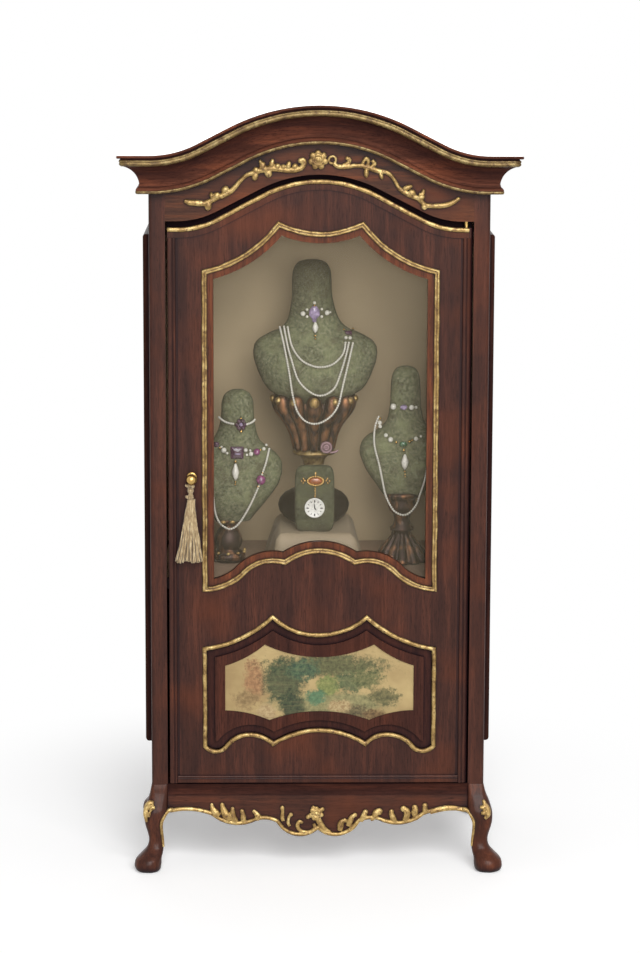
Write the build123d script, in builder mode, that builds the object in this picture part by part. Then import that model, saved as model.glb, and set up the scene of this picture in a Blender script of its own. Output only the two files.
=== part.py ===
from build123d import *
import math
import os

# A dolls'-house armoire with a glazed door, a jeweller's display cabinet in 1:12.
# Millimetres, +Z up, the front faces -Y, the feet stand on z = 0 and the origin is the
# centre of the footprint of the bounding box.

os.makedirs("parts", exist_ok=True)

# ---------------------------------------------------------------- driving dimensions
HEIGHT = 184.6            # floor to the crown of the cornice
BODY_WIDTH = 80.0         # over the corner posts
BODY_DEPTH = 48.0
OVERHANG = 7.0            # how far the cornice stands out in front and at the sides
CORNICE_HEIGHT = 9.2
RISE = 11.65              # how far the hooped cornice climbs from its ends to its crown
LEG_HEIGHT = 21.2         # floor to the underside of the posts

HALF = BODY_WIDTH / 2
FRONT = OVERHANG / 2 - BODY_DEPTH / 2      # y of the posts' front faces
BACK = FRONT + BODY_DEPTH
LIP = HALF + OVERHANG                      # half width of the cornice

# cornice: the lower line of the moulding, measured at the crown and at the flat ends
CORNICE_CROWN = HEIGHT - CORNICE_HEIGHT
CORNICE_REACH = 39.5      # x where the hoop has run out into the flat ends
CORNICE_RADIUS = 36.6     # radius of the crown of the lower line
CORNICE_HOLLOW = 33.0     # radius of the hollow curves that run out into the ends

# carcass
POST = 3.85               # width of a corner post
POST_DEPTH = 3.0
BOARD = 2.6               # side boards
BACK_BOARD = 2.0
RAIL = 2.8                # bottom rail and bottom board
ROOF = 1.6
ROOF_RECESS = 0.4         # the roof lies this far under the cornice's top edge
INNER = HALF - POST       # half width between the posts
EDGE = 0.8                # rounding of the long edges
FLOOR = LEG_HEIGHT - RAIL

SHELF_TOP = 71.2          # display floor
SHELF = 2.6
CEILING = 160.5
SHELF_CLEARANCE = 0.7     # between the door's back and the shelf and ceiling
CLOTH = 0.4
LINING = 0.5
SIDE_APRON = (14.2, 10.8, 0.2)    # lower edge at its ends and its middle, how far it lies in

# side panels laid on the side boards
PANEL_OUT = 1.7
PANEL_LOW = 30.0
PANEL_HIGH = 153.5
PANEL_FROM_FRONT = 7.0
PANEL_FROM_BACK = 4.0

# door
DOOR = 3.0                # thickness
FIELD = 0.4               # the door's field lies this far behind its moulded border
BORDER = 1.9              # width of the border
BORDER_ROUND = 0.35       # rounding of its long edges
BORDER_RIGHT = 2.3        # and on the hinge side, where the door's edge is round
QUIRK = (1.2, 0.2)        # the quirk that divides it into two beads: from the edge, radius
GROOVE = (0.5, 0.2)       # width and depth of the groove inside the border
GAP_LOCK = 0.5            # between the door and the left post
GAP_HINGE = 0.2           # between the door and the right post
DOOR_LEFT = GAP_LOCK - INNER
DOOR_RIGHT = INNER - GAP_HINGE
DOOR_LOW = LEG_HEIGHT + 0.2
DOOR_END = 155.7          # top of the door at its sides
DOOR_CROWN = 167.0        # and in the middle
DOOR_REACH = 33.2
DOOR_RADIUS = 28.4
DOOR_HOLLOW = 19.0
DOOR_MID = 0.3            # x of the centre line of the window and the panel
OPENING = 28.0            # half width of the window and of the lower panel
FRIEZE_END = 157.2        # lower edge of the frieze board
FRIEZE_CROWN = 168.15
FRIEZE_REACH = 33.6
FRIEZE_RADIUS = 30.1
FRIEZE_HOLLOW = 20.7
PIVOT_X = DOOR_RIGHT - DOOR / 2
PIVOT_Y = FRONT + DOOR / 2
PIN_RADIUS = 0.5
PIN_CLEARANCE = 0.06
PIN_DEPTH = 2.2

# trim
GILT_WINDOW = 1.3         # width of the gilt round the window
GILT_PANEL = 1.1
GILT_OUT = 0.3            # how far gilt stands out in front of the posts
SLIP = 1.5                # width of the bevelled slip that holds the glass
SLIP_BACK = 0.2           # how far it lies behind the door's field
GILT_TOP = 1.1            # height of the gilt along the door's top
BEAD_TOP = 1.3            # height of the wooden bead under it
TOP_BEAD_OUT = 0.3        # how far that bead stands out from the door's field
TOP_TRIM_END = PIVOT_X + 0.6      # both stop where the door's edge rounds off
GLASS = 0.8

# pull and tassel
KNOB = (-30.1, 96.4)      # x, z
KNOB_RADIUS = 1.3
NECK_RADIUS = 0.55
TASSEL_Y = FRONT - 2.0
LOOP_RADIUS = 0.85
LOOP_WIRE = 0.22

# display
BUST_Y = FRONT + 27.0     # the tall bust stands behind the two low ones
SIDE_BUST_Y = FRONT + 22.0
PAD_Y = FRONT + 16.0
MIDDLE_X = -0.6
LEFT_X = -20.8
RIGHT_X = 21.0
STAND_LEFT_X = -21.8
STAND_RIGHT_X = 20.8
PAD_X = -1.0
DAIS_TOP = 80.0
BUST_THICK = 0.62         # thickness of a bust as a share of its width


# ---------------------------------------------------------------- helpers
def facing(y):
    """A plane looking to the front at this y: its own x and y are the part's x and z."""
    return Plane.XZ.offset(-y)


def save(part, name):
    """Label a finished piece and write it."""
    part.label = name
    export_step(part, f"parts/{name}.step")


def hoop(half, z_crown, z_end, reach, radius, hollow):
    """The armoire's hooped line in the current BuildLine, from -half to +half: flat ends,
    two hollow arcs and a round crown with short straights between them, all tangent."""
    total = radius + hollow
    left_over = total - (z_crown - z_end)
    turn = math.atan2(reach, left_over) - math.acos(total / math.hypot(left_over, reach))
    x_turn = radius * math.sin(turn)
    z_turn = z_crown - radius * (1 - math.cos(turn))
    x_foot = reach - hollow * math.sin(turn)
    z_foot = z_end + hollow * (1 - math.cos(turn))
    x_mid = reach - hollow * math.sin(turn / 2)
    z_mid = z_end + hollow * (1 - math.cos(turn / 2))
    ThreePointArc((-x_turn, z_turn), (0, z_crown), (x_turn, z_turn))
    for side in (-1, 1):
        Line((side * half, z_end), (side * reach, z_end))
        ThreePointArc((side * reach, z_end), (side * x_mid, z_mid), (side * x_foot, z_foot))
        Line((side * x_foot, z_foot), (side * x_turn, z_turn))


def cornice_hoop(half, up):
    """The cornice's line at a height above its lower edge."""
    crown = CORNICE_CROWN + up
    hoop(half, crown, crown - RISE, CORNICE_REACH, CORNICE_RADIUS + up, CORNICE_HOLLOW - up)


def door_hoop(half, down=0.0):
    """The door's top line, or one that far below it."""
    hoop(half, DOOR_CROWN - down, DOOR_END - down, DOOR_REACH, DOOR_RADIUS - down,
         DOOR_HOLLOW + down)


def frieze_hoop(half):
    hoop(half, FRIEZE_CROWN, FRIEZE_END, FRIEZE_REACH, FRIEZE_RADIUS, FRIEZE_HOLLOW)


def arcs(mid, *triples):
    """Three-point arcs given for the left half, drawn with their mirror images about x = mid.
    A triple that ends on the centre line stands for a whole arc through that point."""
    for start, through, end in triples:
        ThreePointArc((mid + start[0], start[1]), (mid + through[0], through[1]),
                      (mid + end[0], end[1]))
        if start[0] != -end[0]:
            ThreePointArc((mid - start[0], start[1]), (mid - through[0], through[1]),
                          (mid - end[0], end[1]))


WINDOW_SIDE = (68.5, 145.8)       # z of the window's side edges
WINDOW_TOP = [((-OPENING, WINDOW_SIDE[1]), (-18.9, 149.2), (-10.0, 157.3)),
              ((-10.0, 157.3), (0, 154.8), (10.0, 157.3))]
WINDOW_LOW = [((-OPENING, WINDOW_SIDE[0]), (-23.1, 69.3), (-18.3, 72.1)),
              ((-18.3, 72.1), (-13.0, 75.3), (-8.2, 75.0)),
              ((-8.2, 75.0), (0, 77.9), (8.2, 75.0))]
PANEL_SIDE = (30.3, 55.0)
PANEL_TOP = [((-OPENING, PANEL_SIDE[1]), (-19.5, 57.4), (-11.3, 63.0)),
             ((-11.3, 63.0), (0, 58.4), (11.3, 63.0))]
PANEL_BOTTOM = [((-OPENING, PANEL_SIDE[0]), (-25.2, 28.7), (-21.6, 30.5)),
                ((-21.6, 30.5), (-16.7, 32.8), (-11.2, 30.3)),
                ((-11.2, 30.3), (0, 33.9), (11.2, 30.3))]
PICTURE_SIDE = (39.3, 50.4)
PICTURE_HALF = 22.6
PICTURE_TOP = [((-PICTURE_HALF, PICTURE_SIDE[1]), (-17.4, 52.6), (-13.1, 55.6)),
               ((-13.1, 55.6), (0, 52.5), (13.1, 55.6))]
PICTURE_LOW = [((-PICTURE_HALF, PICTURE_SIDE[0]), (-17.4, 38.7), (-12.0, 36.9)),
               ((-12.0, 36.9), (0, 39.1), (12.0, 36.9))]


def outline(half, side, top, low):
    """A closed outline of two upright sides, a shaped top and a shaped bottom."""
    for x in (DOOR_MID - half, DOOR_MID + half):
        Line((x, side[0]), (x, side[1]))
    arcs(DOOR_MID, *top)
    arcs(DOOR_MID, *low)


WINDOW = (OPENING, WINDOW_SIDE, WINDOW_TOP, WINDOW_LOW)
PANEL = (OPENING, PANEL_SIDE, PANEL_TOP, PANEL_BOTTOM)
PICTURE = (PICTURE_HALF, PICTURE_SIDE, PICTURE_TOP, PICTURE_LOW)


def shaped_face(shape, y, inset=0.0):
    """The area within an outline, in the plane that faces the front at y."""
    with BuildSketch(facing(y)) as area:
        with BuildLine():
            outline(*shape)
        make_face()
        if inset:
            offset(amount=-inset, kind=Kind.ARC)
    return area.sketch


def shaped_plate(shape, y_front, thickness, inset=0.0):
    """A plate of the outline's form from y_front backwards."""
    with BuildPart(mode=Mode.PRIVATE) as plate:
        with BuildSketch(facing(y_front + thickness)):
            add(shaped_face(shape, y_front + thickness, inset))
        extrude(amount=thickness)
    return plate.part


def shaped_ring(shape, y_front, thickness, outer, width):
    """A frame of constant width that follows the outline."""
    with BuildPart(mode=Mode.PRIVATE) as ring:
        with BuildSketch(facing(y_front + thickness)):
            add(shaped_face(shape, y_front + thickness, outer))
            add(shaped_face(shape, y_front + thickness, outer + width), mode=Mode.SUBTRACT)
        extrude(amount=thickness)
    return ring.part


def board(name, x_span, y_span, z_span, edges=None, rounding=0.0):
    """A plain board between the given limits, with chosen edges rounded."""
    with BuildPart() as piece:
        with BuildSketch(Plane.XY.offset(z_span[0])):
            with Locations(((x_span[0] + x_span[1]) / 2, (y_span[0] + y_span[1]) / 2)):
                Rectangle(x_span[1] - x_span[0], y_span[1] - y_span[0])
        extrude(amount=z_span[1] - z_span[0])
        if edges:
            fillet(edges(piece), radius=rounding)
    save(piece.part, name)
    return piece.part


# ---------------------------------------------------------------- carcass
POST_TOP = CORNICE_CROWN - RISE + CORNICE_HEIGHT - ROOF_RECESS - ROOF


def front_corner(side):
    """Chooses the outer front edge of a post."""
    return lambda piece: piece.edges().filter_by(Axis.Z).group_by(Axis.Y)[0].sort_by(
        Axis.X)[0 if side < 0 else -1]


for word, side in (("left", -1), ("right", 1)):
    inner_x = sorted((side * INNER, side * HALF))
    board(f"post_{word}", inner_x, (FRONT, FRONT + POST_DEPTH), (LEG_HEIGHT, POST_TOP),
          front_corner(side), EDGE)
    board_x = sorted((side * (HALF - BOARD), side * HALF))
    board(f"side_{word}", board_x, (FRONT + POST_DEPTH, BACK - BACK_BOARD),
          (LEG_HEIGHT, POST_TOP))
    panel_x = sorted((side * HALF, side * (HALF + PANEL_OUT)))
    board(f"side_panel_{word}", panel_x, (FRONT + PANEL_FROM_FRONT, BACK - PANEL_FROM_BACK),
          (PANEL_LOW, PANEL_HIGH),
          lambda piece: piece.faces().sort_by(Axis.X)[0 if side < 0 else -1].edges(), EDGE)
    end_z, middle_z, set_in = SIDE_APRON
    apron_x = sorted((side * (HALF - BOARD), side * (HALF - set_in)))
    with BuildPart() as side_apron:
        with BuildSketch(Plane.YZ.offset(apron_x[0])):
            with BuildLine():
                y0 = FRONT + POST
                y1 = BACK - POST
                Polyline((y0, end_z), (y0, LEG_HEIGHT), (y1, LEG_HEIGHT), (y1, end_z))
                ThreePointArc((y0, end_z), ((y0 + y1) / 2, middle_z), (y1, end_z))
            make_face()
        extrude(amount=apron_x[1] - apron_x[0])
    save(side_apron.part, f"apron_{word}")

with BuildPart() as back_board:
    with BuildSketch(facing(BACK)):
        with BuildLine():
            cornice_hoop(HALF, CORNICE_HEIGHT - ROOF_RECESS - ROOF)
            Polyline((-HALF, POST_TOP), (-HALF, LEG_HEIGHT), (HALF, LEG_HEIGHT),
                     (HALF, POST_TOP))
        make_face()
    extrude(amount=BACK_BOARD)
save(back_board.part, "back_board")

RAIL_DEPTH = 5.0
RAIL_HOLLOW = (2.6, 0.5)  # radius and depth of the hollow along the rail's face
with BuildPart() as bottom_rail:
    with BuildSketch(Plane.XY.offset(FLOOR)):
        with Locations((0, FRONT + RAIL_DEPTH / 2)):
            Rectangle(2 * INNER, RAIL_DEPTH)
    extrude(amount=RAIL)
    with BuildSketch(Plane.XY.offset(LEG_HEIGHT)):
        with Locations((PIVOT_X, PIVOT_Y)):
            Circle(PIN_RADIUS + PIN_CLEARANCE)
    extrude(amount=-PIN_DEPTH, mode=Mode.SUBTRACT)
    with Locations(Location((0, FRONT - RAIL_HOLLOW[0] + RAIL_HOLLOW[1], FLOOR + RAIL / 2),
                            (0, 90, 0))):
        Cylinder(RAIL_HOLLOW[0], 2 * HALF, mode=Mode.SUBTRACT)
save(bottom_rail.part, "bottom_rail")

INSIDE = HALF - BOARD
with BuildPart() as bottom_board:
    for half, y_front, y_back in ((INSIDE, FRONT + RAIL_DEPTH, BACK - POST),
                                  (INNER, BACK - POST, BACK)):
        with BuildSketch(Plane.XY.offset(FLOOR)):
            with Locations((0, (y_front + y_back) / 2)):
                Rectangle(2 * half, y_back - y_front)
        extrude(amount=RAIL)
save(bottom_board.part, "bottom_board")
BEHIND_DOOR = FRONT + DOOR + SHELF_CLEARANCE
board("top_board", (-INSIDE, INSIDE), (BEHIND_DOOR, BACK - BACK_BOARD),
      (CEILING, CEILING + SHELF))
board("shelf_board", (-INSIDE, INSIDE), (BEHIND_DOOR, BACK - BACK_BOARD),
      (SHELF_TOP - SHELF, SHELF_TOP))
board("shelf_cloth", (-INSIDE, INSIDE), (BEHIND_DOOR, BACK - BACK_BOARD - LINING),
      (SHELF_TOP, SHELF_TOP + CLOTH))
board("lining_back", (-INSIDE, INSIDE), (BACK - BACK_BOARD - LINING, BACK - BACK_BOARD),
      (SHELF_TOP, CEILING))

with BuildPart() as roof:
    with BuildSketch(facing(BACK)):
        with BuildLine():
            cornice_hoop(HALF, CORNICE_HEIGHT - ROOF_RECESS)
            cornice_hoop(HALF, CORNICE_HEIGHT - ROOF_RECESS - ROOF)
            for x in (-HALF, HALF):
                Line((x, POST_TOP), (x, POST_TOP + ROOF))
        make_face()
    extrude(amount=BODY_DEPTH)
save(roof.part, "roof_board")

with BuildPart() as frieze:
    with BuildSketch(facing(FRONT + POST_DEPTH)):
        with BuildLine():
            cornice_hoop(HALF, CORNICE_HEIGHT - ROOF_RECESS - ROOF)
            frieze_hoop(HALF)
            for x in (-HALF, HALF):
                Line((x, FRIEZE_END), (x, POST_TOP))
        make_face()
        with Locations((0, (FRIEZE_END + HEIGHT) / 2)):
            Rectangle(2 * INNER, HEIGHT - FRIEZE_END, mode=Mode.INTERSECT)
    extrude(amount=POST_DEPTH)
    with BuildSketch(Plane.XY.offset(FRIEZE_END)):
        with Locations((PIVOT_X, PIVOT_Y)):
            Circle(PIN_RADIUS + PIN_CLEARANCE)
    extrude(amount=PIN_DEPTH, mode=Mode.SUBTRACT)
save(frieze.part, "frieze_board")

# ---------------------------------------------------------------- cornice
LOWER_BEAD = [(2.0, 0), (2.8, 0.8), (2.2, 1.6)]   # outwards, up
COVE = [(2.0, 2.4), (3.1, 5.0), (5.4, 6.6)]       # the hollow above the bead
GILT_BAND = (7.3, 8.5)    # the gilt band lies between these heights of the moulding
GILT_THICK = 0.3
GILT_FACE = 6.4           # how far out the gilt's face lies
NOSE = (6.75, 7.0)        # the lip over the gilt: where its rounded nose starts and ends


def cornice_section():
    """The moulding's section in the current BuildLine: x outwards, y up, from its back edge."""
    face = GILT_FACE - GILT_THICK
    low, high = GILT_BAND
    Polyline((NOSE[0], CORNICE_HEIGHT), (0, CORNICE_HEIGHT), (0, 0), LOWER_BEAD[0])
    ThreePointArc(*LOWER_BEAD)
    Line(LOWER_BEAD[-1], COVE[0])
    ThreePointArc(*COVE)
    Polyline(COVE[-1], (face, low), (face, high), (NOSE[0], high))
    ThreePointArc((NOSE[0], high), (NOSE[1], (high + CORNICE_HEIGHT) / 2),
                  (NOSE[0], CORNICE_HEIGHT))


def corner_mitre(side):
    """The 45 degree plane through a front corner, facing outwards."""
    return Plane(origin=(side * HALF, FRONT, 0), z_dir=(side, 1, 0))


with BuildPart() as cornice_front:
    with BuildLine(facing(FRONT)) as path:
        cornice_hoop(LIP, 0)
    with BuildSketch(Plane(origin=(-LIP, FRONT, CORNICE_CROWN - RISE), x_dir=(0, -1, 0),
                           z_dir=(-1, 0, 0))):
        with BuildLine():
            cornice_section()
        make_face()
    sweep(path=path.wire())
    for side in (-1, 1):
        split(bisect_by=corner_mitre(side), keep=Keep.BOTTOM)
save(cornice_front.part, "cornice_front")

for word, side in (("left", -1), ("right", 1)):
    with BuildPart() as cornice_side:
        with BuildSketch(Plane(origin=(side * HALF, FRONT - OVERHANG, CORNICE_CROWN - RISE),
                               x_dir=(side, 0, 0), z_dir=(0, -side, 0))):
            with BuildLine():
                cornice_section()
            make_face()
        extrude(amount=-side * (BODY_DEPTH + OVERHANG))
        split(bisect_by=corner_mitre(side), keep=Keep.TOP)
    save(cornice_side.part, f"cornice_{word}")

with BuildPart() as cornice_gilt:
    with BuildLine(facing(FRONT)) as gilt_path:
        cornice_hoop(LIP, 0)
    with BuildSketch(Plane(origin=(-LIP, FRONT, CORNICE_CROWN - RISE), x_dir=(0, -1, 0),
                           z_dir=(-1, 0, 0))):
        with Locations((GILT_FACE - GILT_THICK / 2, sum(GILT_BAND) / 2)):
            Rectangle(GILT_THICK, GILT_BAND[1] - GILT_BAND[0])
    sweep(path=gilt_path.wire())
    for side in (-1, 1):
        split(bisect_by=corner_mitre(side), keep=Keep.BOTTOM)
    for side in (-1, 1):
        with BuildSketch(Plane.XY.offset(CORNICE_CROWN - RISE + GILT_BAND[0])):
            with BuildLine():
                outer = HALF + GILT_FACE
                inner = outer - GILT_THICK
                Polyline((side * inner, BACK), (side * outer, BACK),
                         (side * outer, FRONT - GILT_FACE),
                         (side * inner, FRONT - GILT_FACE + GILT_THICK), close=True)
            make_face()
        extrude(amount=GILT_BAND[1] - GILT_BAND[0])
save(cornice_gilt.part, "cornice_gilt")

# ---------------------------------------------------------------- legs and aprons
# A cabriole leg by its level sections: height, how far it swells out past the post's face,
# how far it reaches in from that face, and how round it is (0 square, 0.5 round).
LEG_SECTIONS = [(0.0, 3.7, 1.4, 0.46), (0.8, 4.4, 1.9, 0.46), (2.0, 4.4, 2.1, 0.46),
                (3.6, 3.3, 2.15, 0.44), (5.2, 1.8, 2.15, 0.4), (7.0, 1.1, 2.05, 0.35),
                (10.4, 1.7, 1.65, 0.3), (12.2, 2.25, 2.3, 0.28), (14.2, 2.4, 3.7, 0.25),
                (16.4, 1.9, POST, 0.2), (18.6, 0.6, POST, 0.14), (LEG_HEIGHT, 0.0, POST, 0.1)]
LEG_STEPS = 3             # sections set in between each two of these
KNEE_SWELL = (2.4, 14.4)  # how far the knee swells out, and its height
ANKLE = 8.0               # below this height a back leg is as deep as it is wide


def eased(a, b, t):
    """Between two values with level ends, so that the leg has no ridges."""
    return a + (b - a) * (3 * t ** 2 - 2 * t ** 3)


def leg_sections():
    """The listed sections with softly eased ones between them, from the floor up."""
    for low, high in zip(LEG_SECTIONS, LEG_SECTIONS[1:]):
        for step in range(LEG_STEPS):
            t = step / LEG_STEPS
            z = low[0] + (high[0] - low[0]) * t
            yield (z, *(a + (b - a) * (t + eased(0, 1, t)) / 2 for a, b in zip(low[1:], high[1:])))
    yield LEG_SECTIONS[-1]


def cabriole(side, end, y_face, kicks):
    """A leg at one corner. side and end are -1 or 1. A front leg kicks out over the corner,
    a back one only sideways, because the armoire stands against a wall."""
    with BuildPart() as leg:
        for z, out, reach_in, roundness in leg_sections():
            size = out + reach_in
            depth = size if kicks or z < ANKLE else min(size, POST)
            forward = out if kicks else 0
            with BuildSketch(Plane.XY.offset(z)):
                with Locations((side * (HALF + out - size / 2),
                                y_face + end * (forward - depth / 2))):
                    RectangleRounded(size, depth, roundness * depth)
        loft(ruled=True)
    return leg.part


front_legs = {}
for word, side in (("left", -1), ("right", 1)):
    front_legs[side] = cabriole(side, -1, FRONT, kicks=True)
    save(front_legs[side], f"leg_front_{word}")
    save(cabriole(side, 1, BACK, kicks=False), f"leg_back_{word}")

APRON = [((-INNER, 13.9), (-30.5, 14.35), (-25.6, 13.2)),
         ((-25.6, 13.2), (-19.2, 10.8), (-15.0, 11.8)),
         ((-15.0, 11.8), (-12.3, 12.15), (-9.8, 11.3)),
         ((-9.8, 11.3), (-5.0, 8.0), (0, 9.6))]
APRON_BACK = 0.3          # the apron's face lies behind the posts' faces
APRON_THICK = 2.0
APRON_GILT = 0.7
CARVING = 0.5             # relief of the gilt carving on the apron

with BuildPart() as apron_front:
    with BuildSketch(facing(FRONT + APRON_BACK + APRON_THICK)):
        with BuildLine():
            arcs(0, *APRON)
            Polyline((-INNER, APRON[0][0][1]), (-INNER, FLOOR), (INNER, FLOOR),
                     (INNER, APRON[0][0][1]))
        make_face()
    extrude(amount=APRON_THICK)
save(apron_front.part, "apron_front")

# leaves that rise from the apron's gilt edge: x, z of the leaf's middle, lean in degrees
APRON_LEAVES = [(-25.6, 14.3, 15), (-23.0, 14.1, 10), (-20.6, 13.3, -8), (-18.3, 12.6, -12),
                (-15.4, 12.9, -20), (-9.6, 13.2, -30), (-7.2, 11.6, -35), (6.7, 10.9, 35),
                (8.9, 12.1, 30), (11.3, 12.7, 20), (14.7, 12.8, 10), (17.6, 12.3, -5),
                (20.5, 13.0, -10), (23.0, 13.4, -12), (25.4, 14.0, -15), (30.2, 14.6, 85)]
APRON_LEAF = (2.1, 0.6)   # half length and half width of a leaf
LEAF = (1.5, 0.55)        # the same of the frieze's leaves
SHELL = (-0.5, 13.2)      # x, z of the shell in the apron's middle
SHELL_RADIUS = 2.1
SHELL_BOSS = 1.5          # radius of its raised middle
BOSS_TAPER = 30
SCROLLS = [(-3.1, 10.8), (2.3, 10.8)]
SCROLL_RADIUS = 1.7
with BuildPart() as apron_carving:
    with BuildSketch(facing(FRONT + APRON_BACK)):
        with BuildLine():
            arcs(0, *APRON)
        trace(line_width=APRON_GILT)
        with Locations((0, FLOOR / 2)):
            Rectangle(2 * INNER, FLOOR, mode=Mode.INTERSECT)
        with Locations(SHELL):
            Circle(SHELL_RADIUS)
        with Locations(*SCROLLS):
            Circle(SCROLL_RADIUS)
        for x, z, lean in APRON_LEAVES:
            with Locations(Location((x, z), lean)):
                Ellipse(APRON_LEAF[1], APRON_LEAF[0])
    extrude(amount=CARVING)
    with BuildSketch(facing(FRONT + APRON_BACK - CARVING)):
        with Locations(SHELL):
            Circle(SHELL_BOSS)
    extrude(amount=CARVING, taper=BOSS_TAPER)
save(apron_carving.part, "apron_carving")

KNEE_LEAF = (1.1, 1.1, 2.4)       # half sizes of the gilt leaf on a knee
KNEE_SINK = 0.9           # how deep its middle lies in the knee
with BuildPart() as knee_leaves:
    for side in (-1, 1):
        with BuildPart(mode=Mode.PRIVATE) as drop:
            Sphere(1)
            scale(by=KNEE_LEAF)
        swell = KNEE_SWELL[0] - KNEE_SINK
        knee = (side * (HALF + swell), FRONT - swell, KNEE_SWELL[1])
        add(Pos(*knee) * drop.part)
    for side in (-1, 1):
        add(front_legs[side], mode=Mode.SUBTRACT)
save(knee_leaves.part, "knee_leaves")

# ---------------------------------------------------------------- frieze carving
# two garlands of different hands: a stem as a chain of points, then leaves and curls
GARLAND_LEFT = [(-3.6, 169.9), (-7.0, 169.5), (-11.5, 169.7), (-15.0, 169.0), (-18.9, 166.3),
                (-22.8, 163.4), (-25.6, 162.1), (-29.1, 161.8), (-32.2, 162.3)]
GARLAND_RIGHT = [(2.0, 170.6), (4.8, 170.4), (9.5, 169.7), (14.9, 169.2), (17.0, 167.8),
                 (19.1, 165.2), (22.0, 163.9), (25.2, 161.8), (28.7, 160.9), (32.5, 162.9)]
GARLAND_WIDTH = 1.1
GARLAND_RELIEF = 0.8
LEAVES_LEFT = [(-6.4, 170.9, 35), (-9.9, 170.6, 55), (-13.0, 170.1, 60), (-14.8, 168.0, 10),
               (-17.6, 167.9, 60), (-20.5, 165.6, 60), (-23.6, 163.8, 50), (-25.9, 161.0, -10)]
LEAVES_RIGHT = [(11.1, 168.9, -10), (14.6, 168.1, -10), (18.6, 167.0, -60), (21.4, 164.9, -60),
                (24.0, 163.2, -50), (24.6, 160.9, 10)]
CURLS = [(-3.7, 171.4), (3.7, 171.8), (6.9, 171.4), (11.5, 171.2), (13.2, 170.8)]
CURL_RADIUS = 0.85
ROSETTE = (-0.2, 171.6)
ROSETTE_RADIUS = 2.1
PETAL_RING = 1.3          # radius of the ring that the petals' middles stand on
PETAL_RADIUS = 0.8
PETALS = 5
ROSETTE_EYE = (1.25, 0.63)        # radius of the disc and of the boss in the middle
with BuildPart() as frieze_carving:
    with BuildSketch(facing(FRONT)):
        for stem in (GARLAND_LEFT, GARLAND_RIGHT):
            with BuildLine():
                Spline(*stem)
            trace(line_width=GARLAND_WIDTH)
        for x, z, lean in LEAVES_LEFT + LEAVES_RIGHT:
            with Locations(Location((x, z), lean)):
                Ellipse(LEAF[1], LEAF[0])
        with Locations(*CURLS):
            Circle(CURL_RADIUS)
        with Locations(ROSETTE):
            Circle(ROSETTE_RADIUS, mode=Mode.SUBTRACT)
    extrude(amount=GARLAND_RELIEF)
save(frieze_carving.part, "frieze_carving")

with BuildPart() as rosette:
    with BuildSketch(facing(FRONT)):
        with Locations(ROSETTE):
            with PolarLocations(PETAL_RING, PETALS, start_angle=90):
                Circle(PETAL_RADIUS)
            Circle(ROSETTE_EYE[0])
    extrude(amount=GARLAND_RELIEF)
    with Locations((ROSETTE[0], FRONT - GARLAND_RELIEF, ROSETTE[1])):
        Sphere(ROSETTE_EYE[1])
save(rosette.part, "frieze_rosette")

# ---------------------------------------------------------------- door
FIELD_Y = FRONT + FIELD
STILE_IN = (DOOR_MID - OPENING, DOOR_MID + OPENING)   # x of the stiles' inner edges


def door_blank():
    """The whole door's silhouette as a thick block, to trim its pieces by."""
    with BuildPart(mode=Mode.PRIVATE) as blank:
        with BuildSketch(facing(FRONT + DOOR)):
            with BuildLine():
                door_hoop(HALF)
                Polyline((-HALF, DOOR_END), (-HALF, DOOR_LOW), (HALF, DOOR_LOW), (HALF, DOOR_END))
            make_face()
        extrude(amount=2 * DOOR)
    return blank.part


BLANK = door_blank()


def quarter(x, side):
    """The rounded front edge of the border at x, whose flat face lies to that side of it."""
    lie = BORDER_ROUND * (1 - math.sqrt(0.5))
    ThreePointArc((x, FRONT + BORDER_ROUND), (x + side * lie, FRONT + lie),
                  (x + side * BORDER_ROUND, FRONT))


def quirk(x):
    """The half-round quirk between the border's two beads, as an area to cut away."""
    with Locations((x, FRONT)):
        Circle(QUIRK[1], mode=Mode.SUBTRACT)


def stile_left_plan():
    border = DOOR_LEFT + BORDER
    quarter(DOOR_LEFT, 1)
    Line((DOOR_LEFT + BORDER_ROUND, FRONT), (border - BORDER_ROUND, FRONT))
    quarter(border, -1)
    Polyline((border, FRONT + BORDER_ROUND), (border, FIELD_Y + GROOVE[1]),
             (border + GROOVE[0], FIELD_Y + GROOVE[1]), (border + GROOVE[0], FIELD_Y),
             (STILE_IN[0], FIELD_Y), (STILE_IN[0], FRONT + DOOR), (DOOR_LEFT, FRONT + DOOR),
             (DOOR_LEFT, FRONT + BORDER_ROUND))


def stile_right_plan():
    border = DOOR_RIGHT - BORDER_RIGHT
    Polyline((PIVOT_X, FRONT + DOOR), (STILE_IN[1], FRONT + DOOR), (STILE_IN[1], FIELD_Y),
             (border - GROOVE[0], FIELD_Y), (border - GROOVE[0], FIELD_Y + GROOVE[1]),
             (border, FIELD_Y + GROOVE[1]), (border, FRONT + BORDER_ROUND))
    quarter(border, 1)
    Line((border + BORDER_ROUND, FRONT), (PIVOT_X, FRONT))
    ThreePointArc((PIVOT_X, FRONT), (DOOR_RIGHT, PIVOT_Y), (PIVOT_X, FRONT + DOOR))


TANGENT_GAP = 0.01        # keeps a rail's edge from just touching the crown of an arc
PIN_IN_DOOR = 3.0
PIN_END = 0.2             # a pin stops this far short of the bottom of its bore
TRIM_LOW = DOOR_END - GILT_TOP - BEAD_TOP


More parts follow.
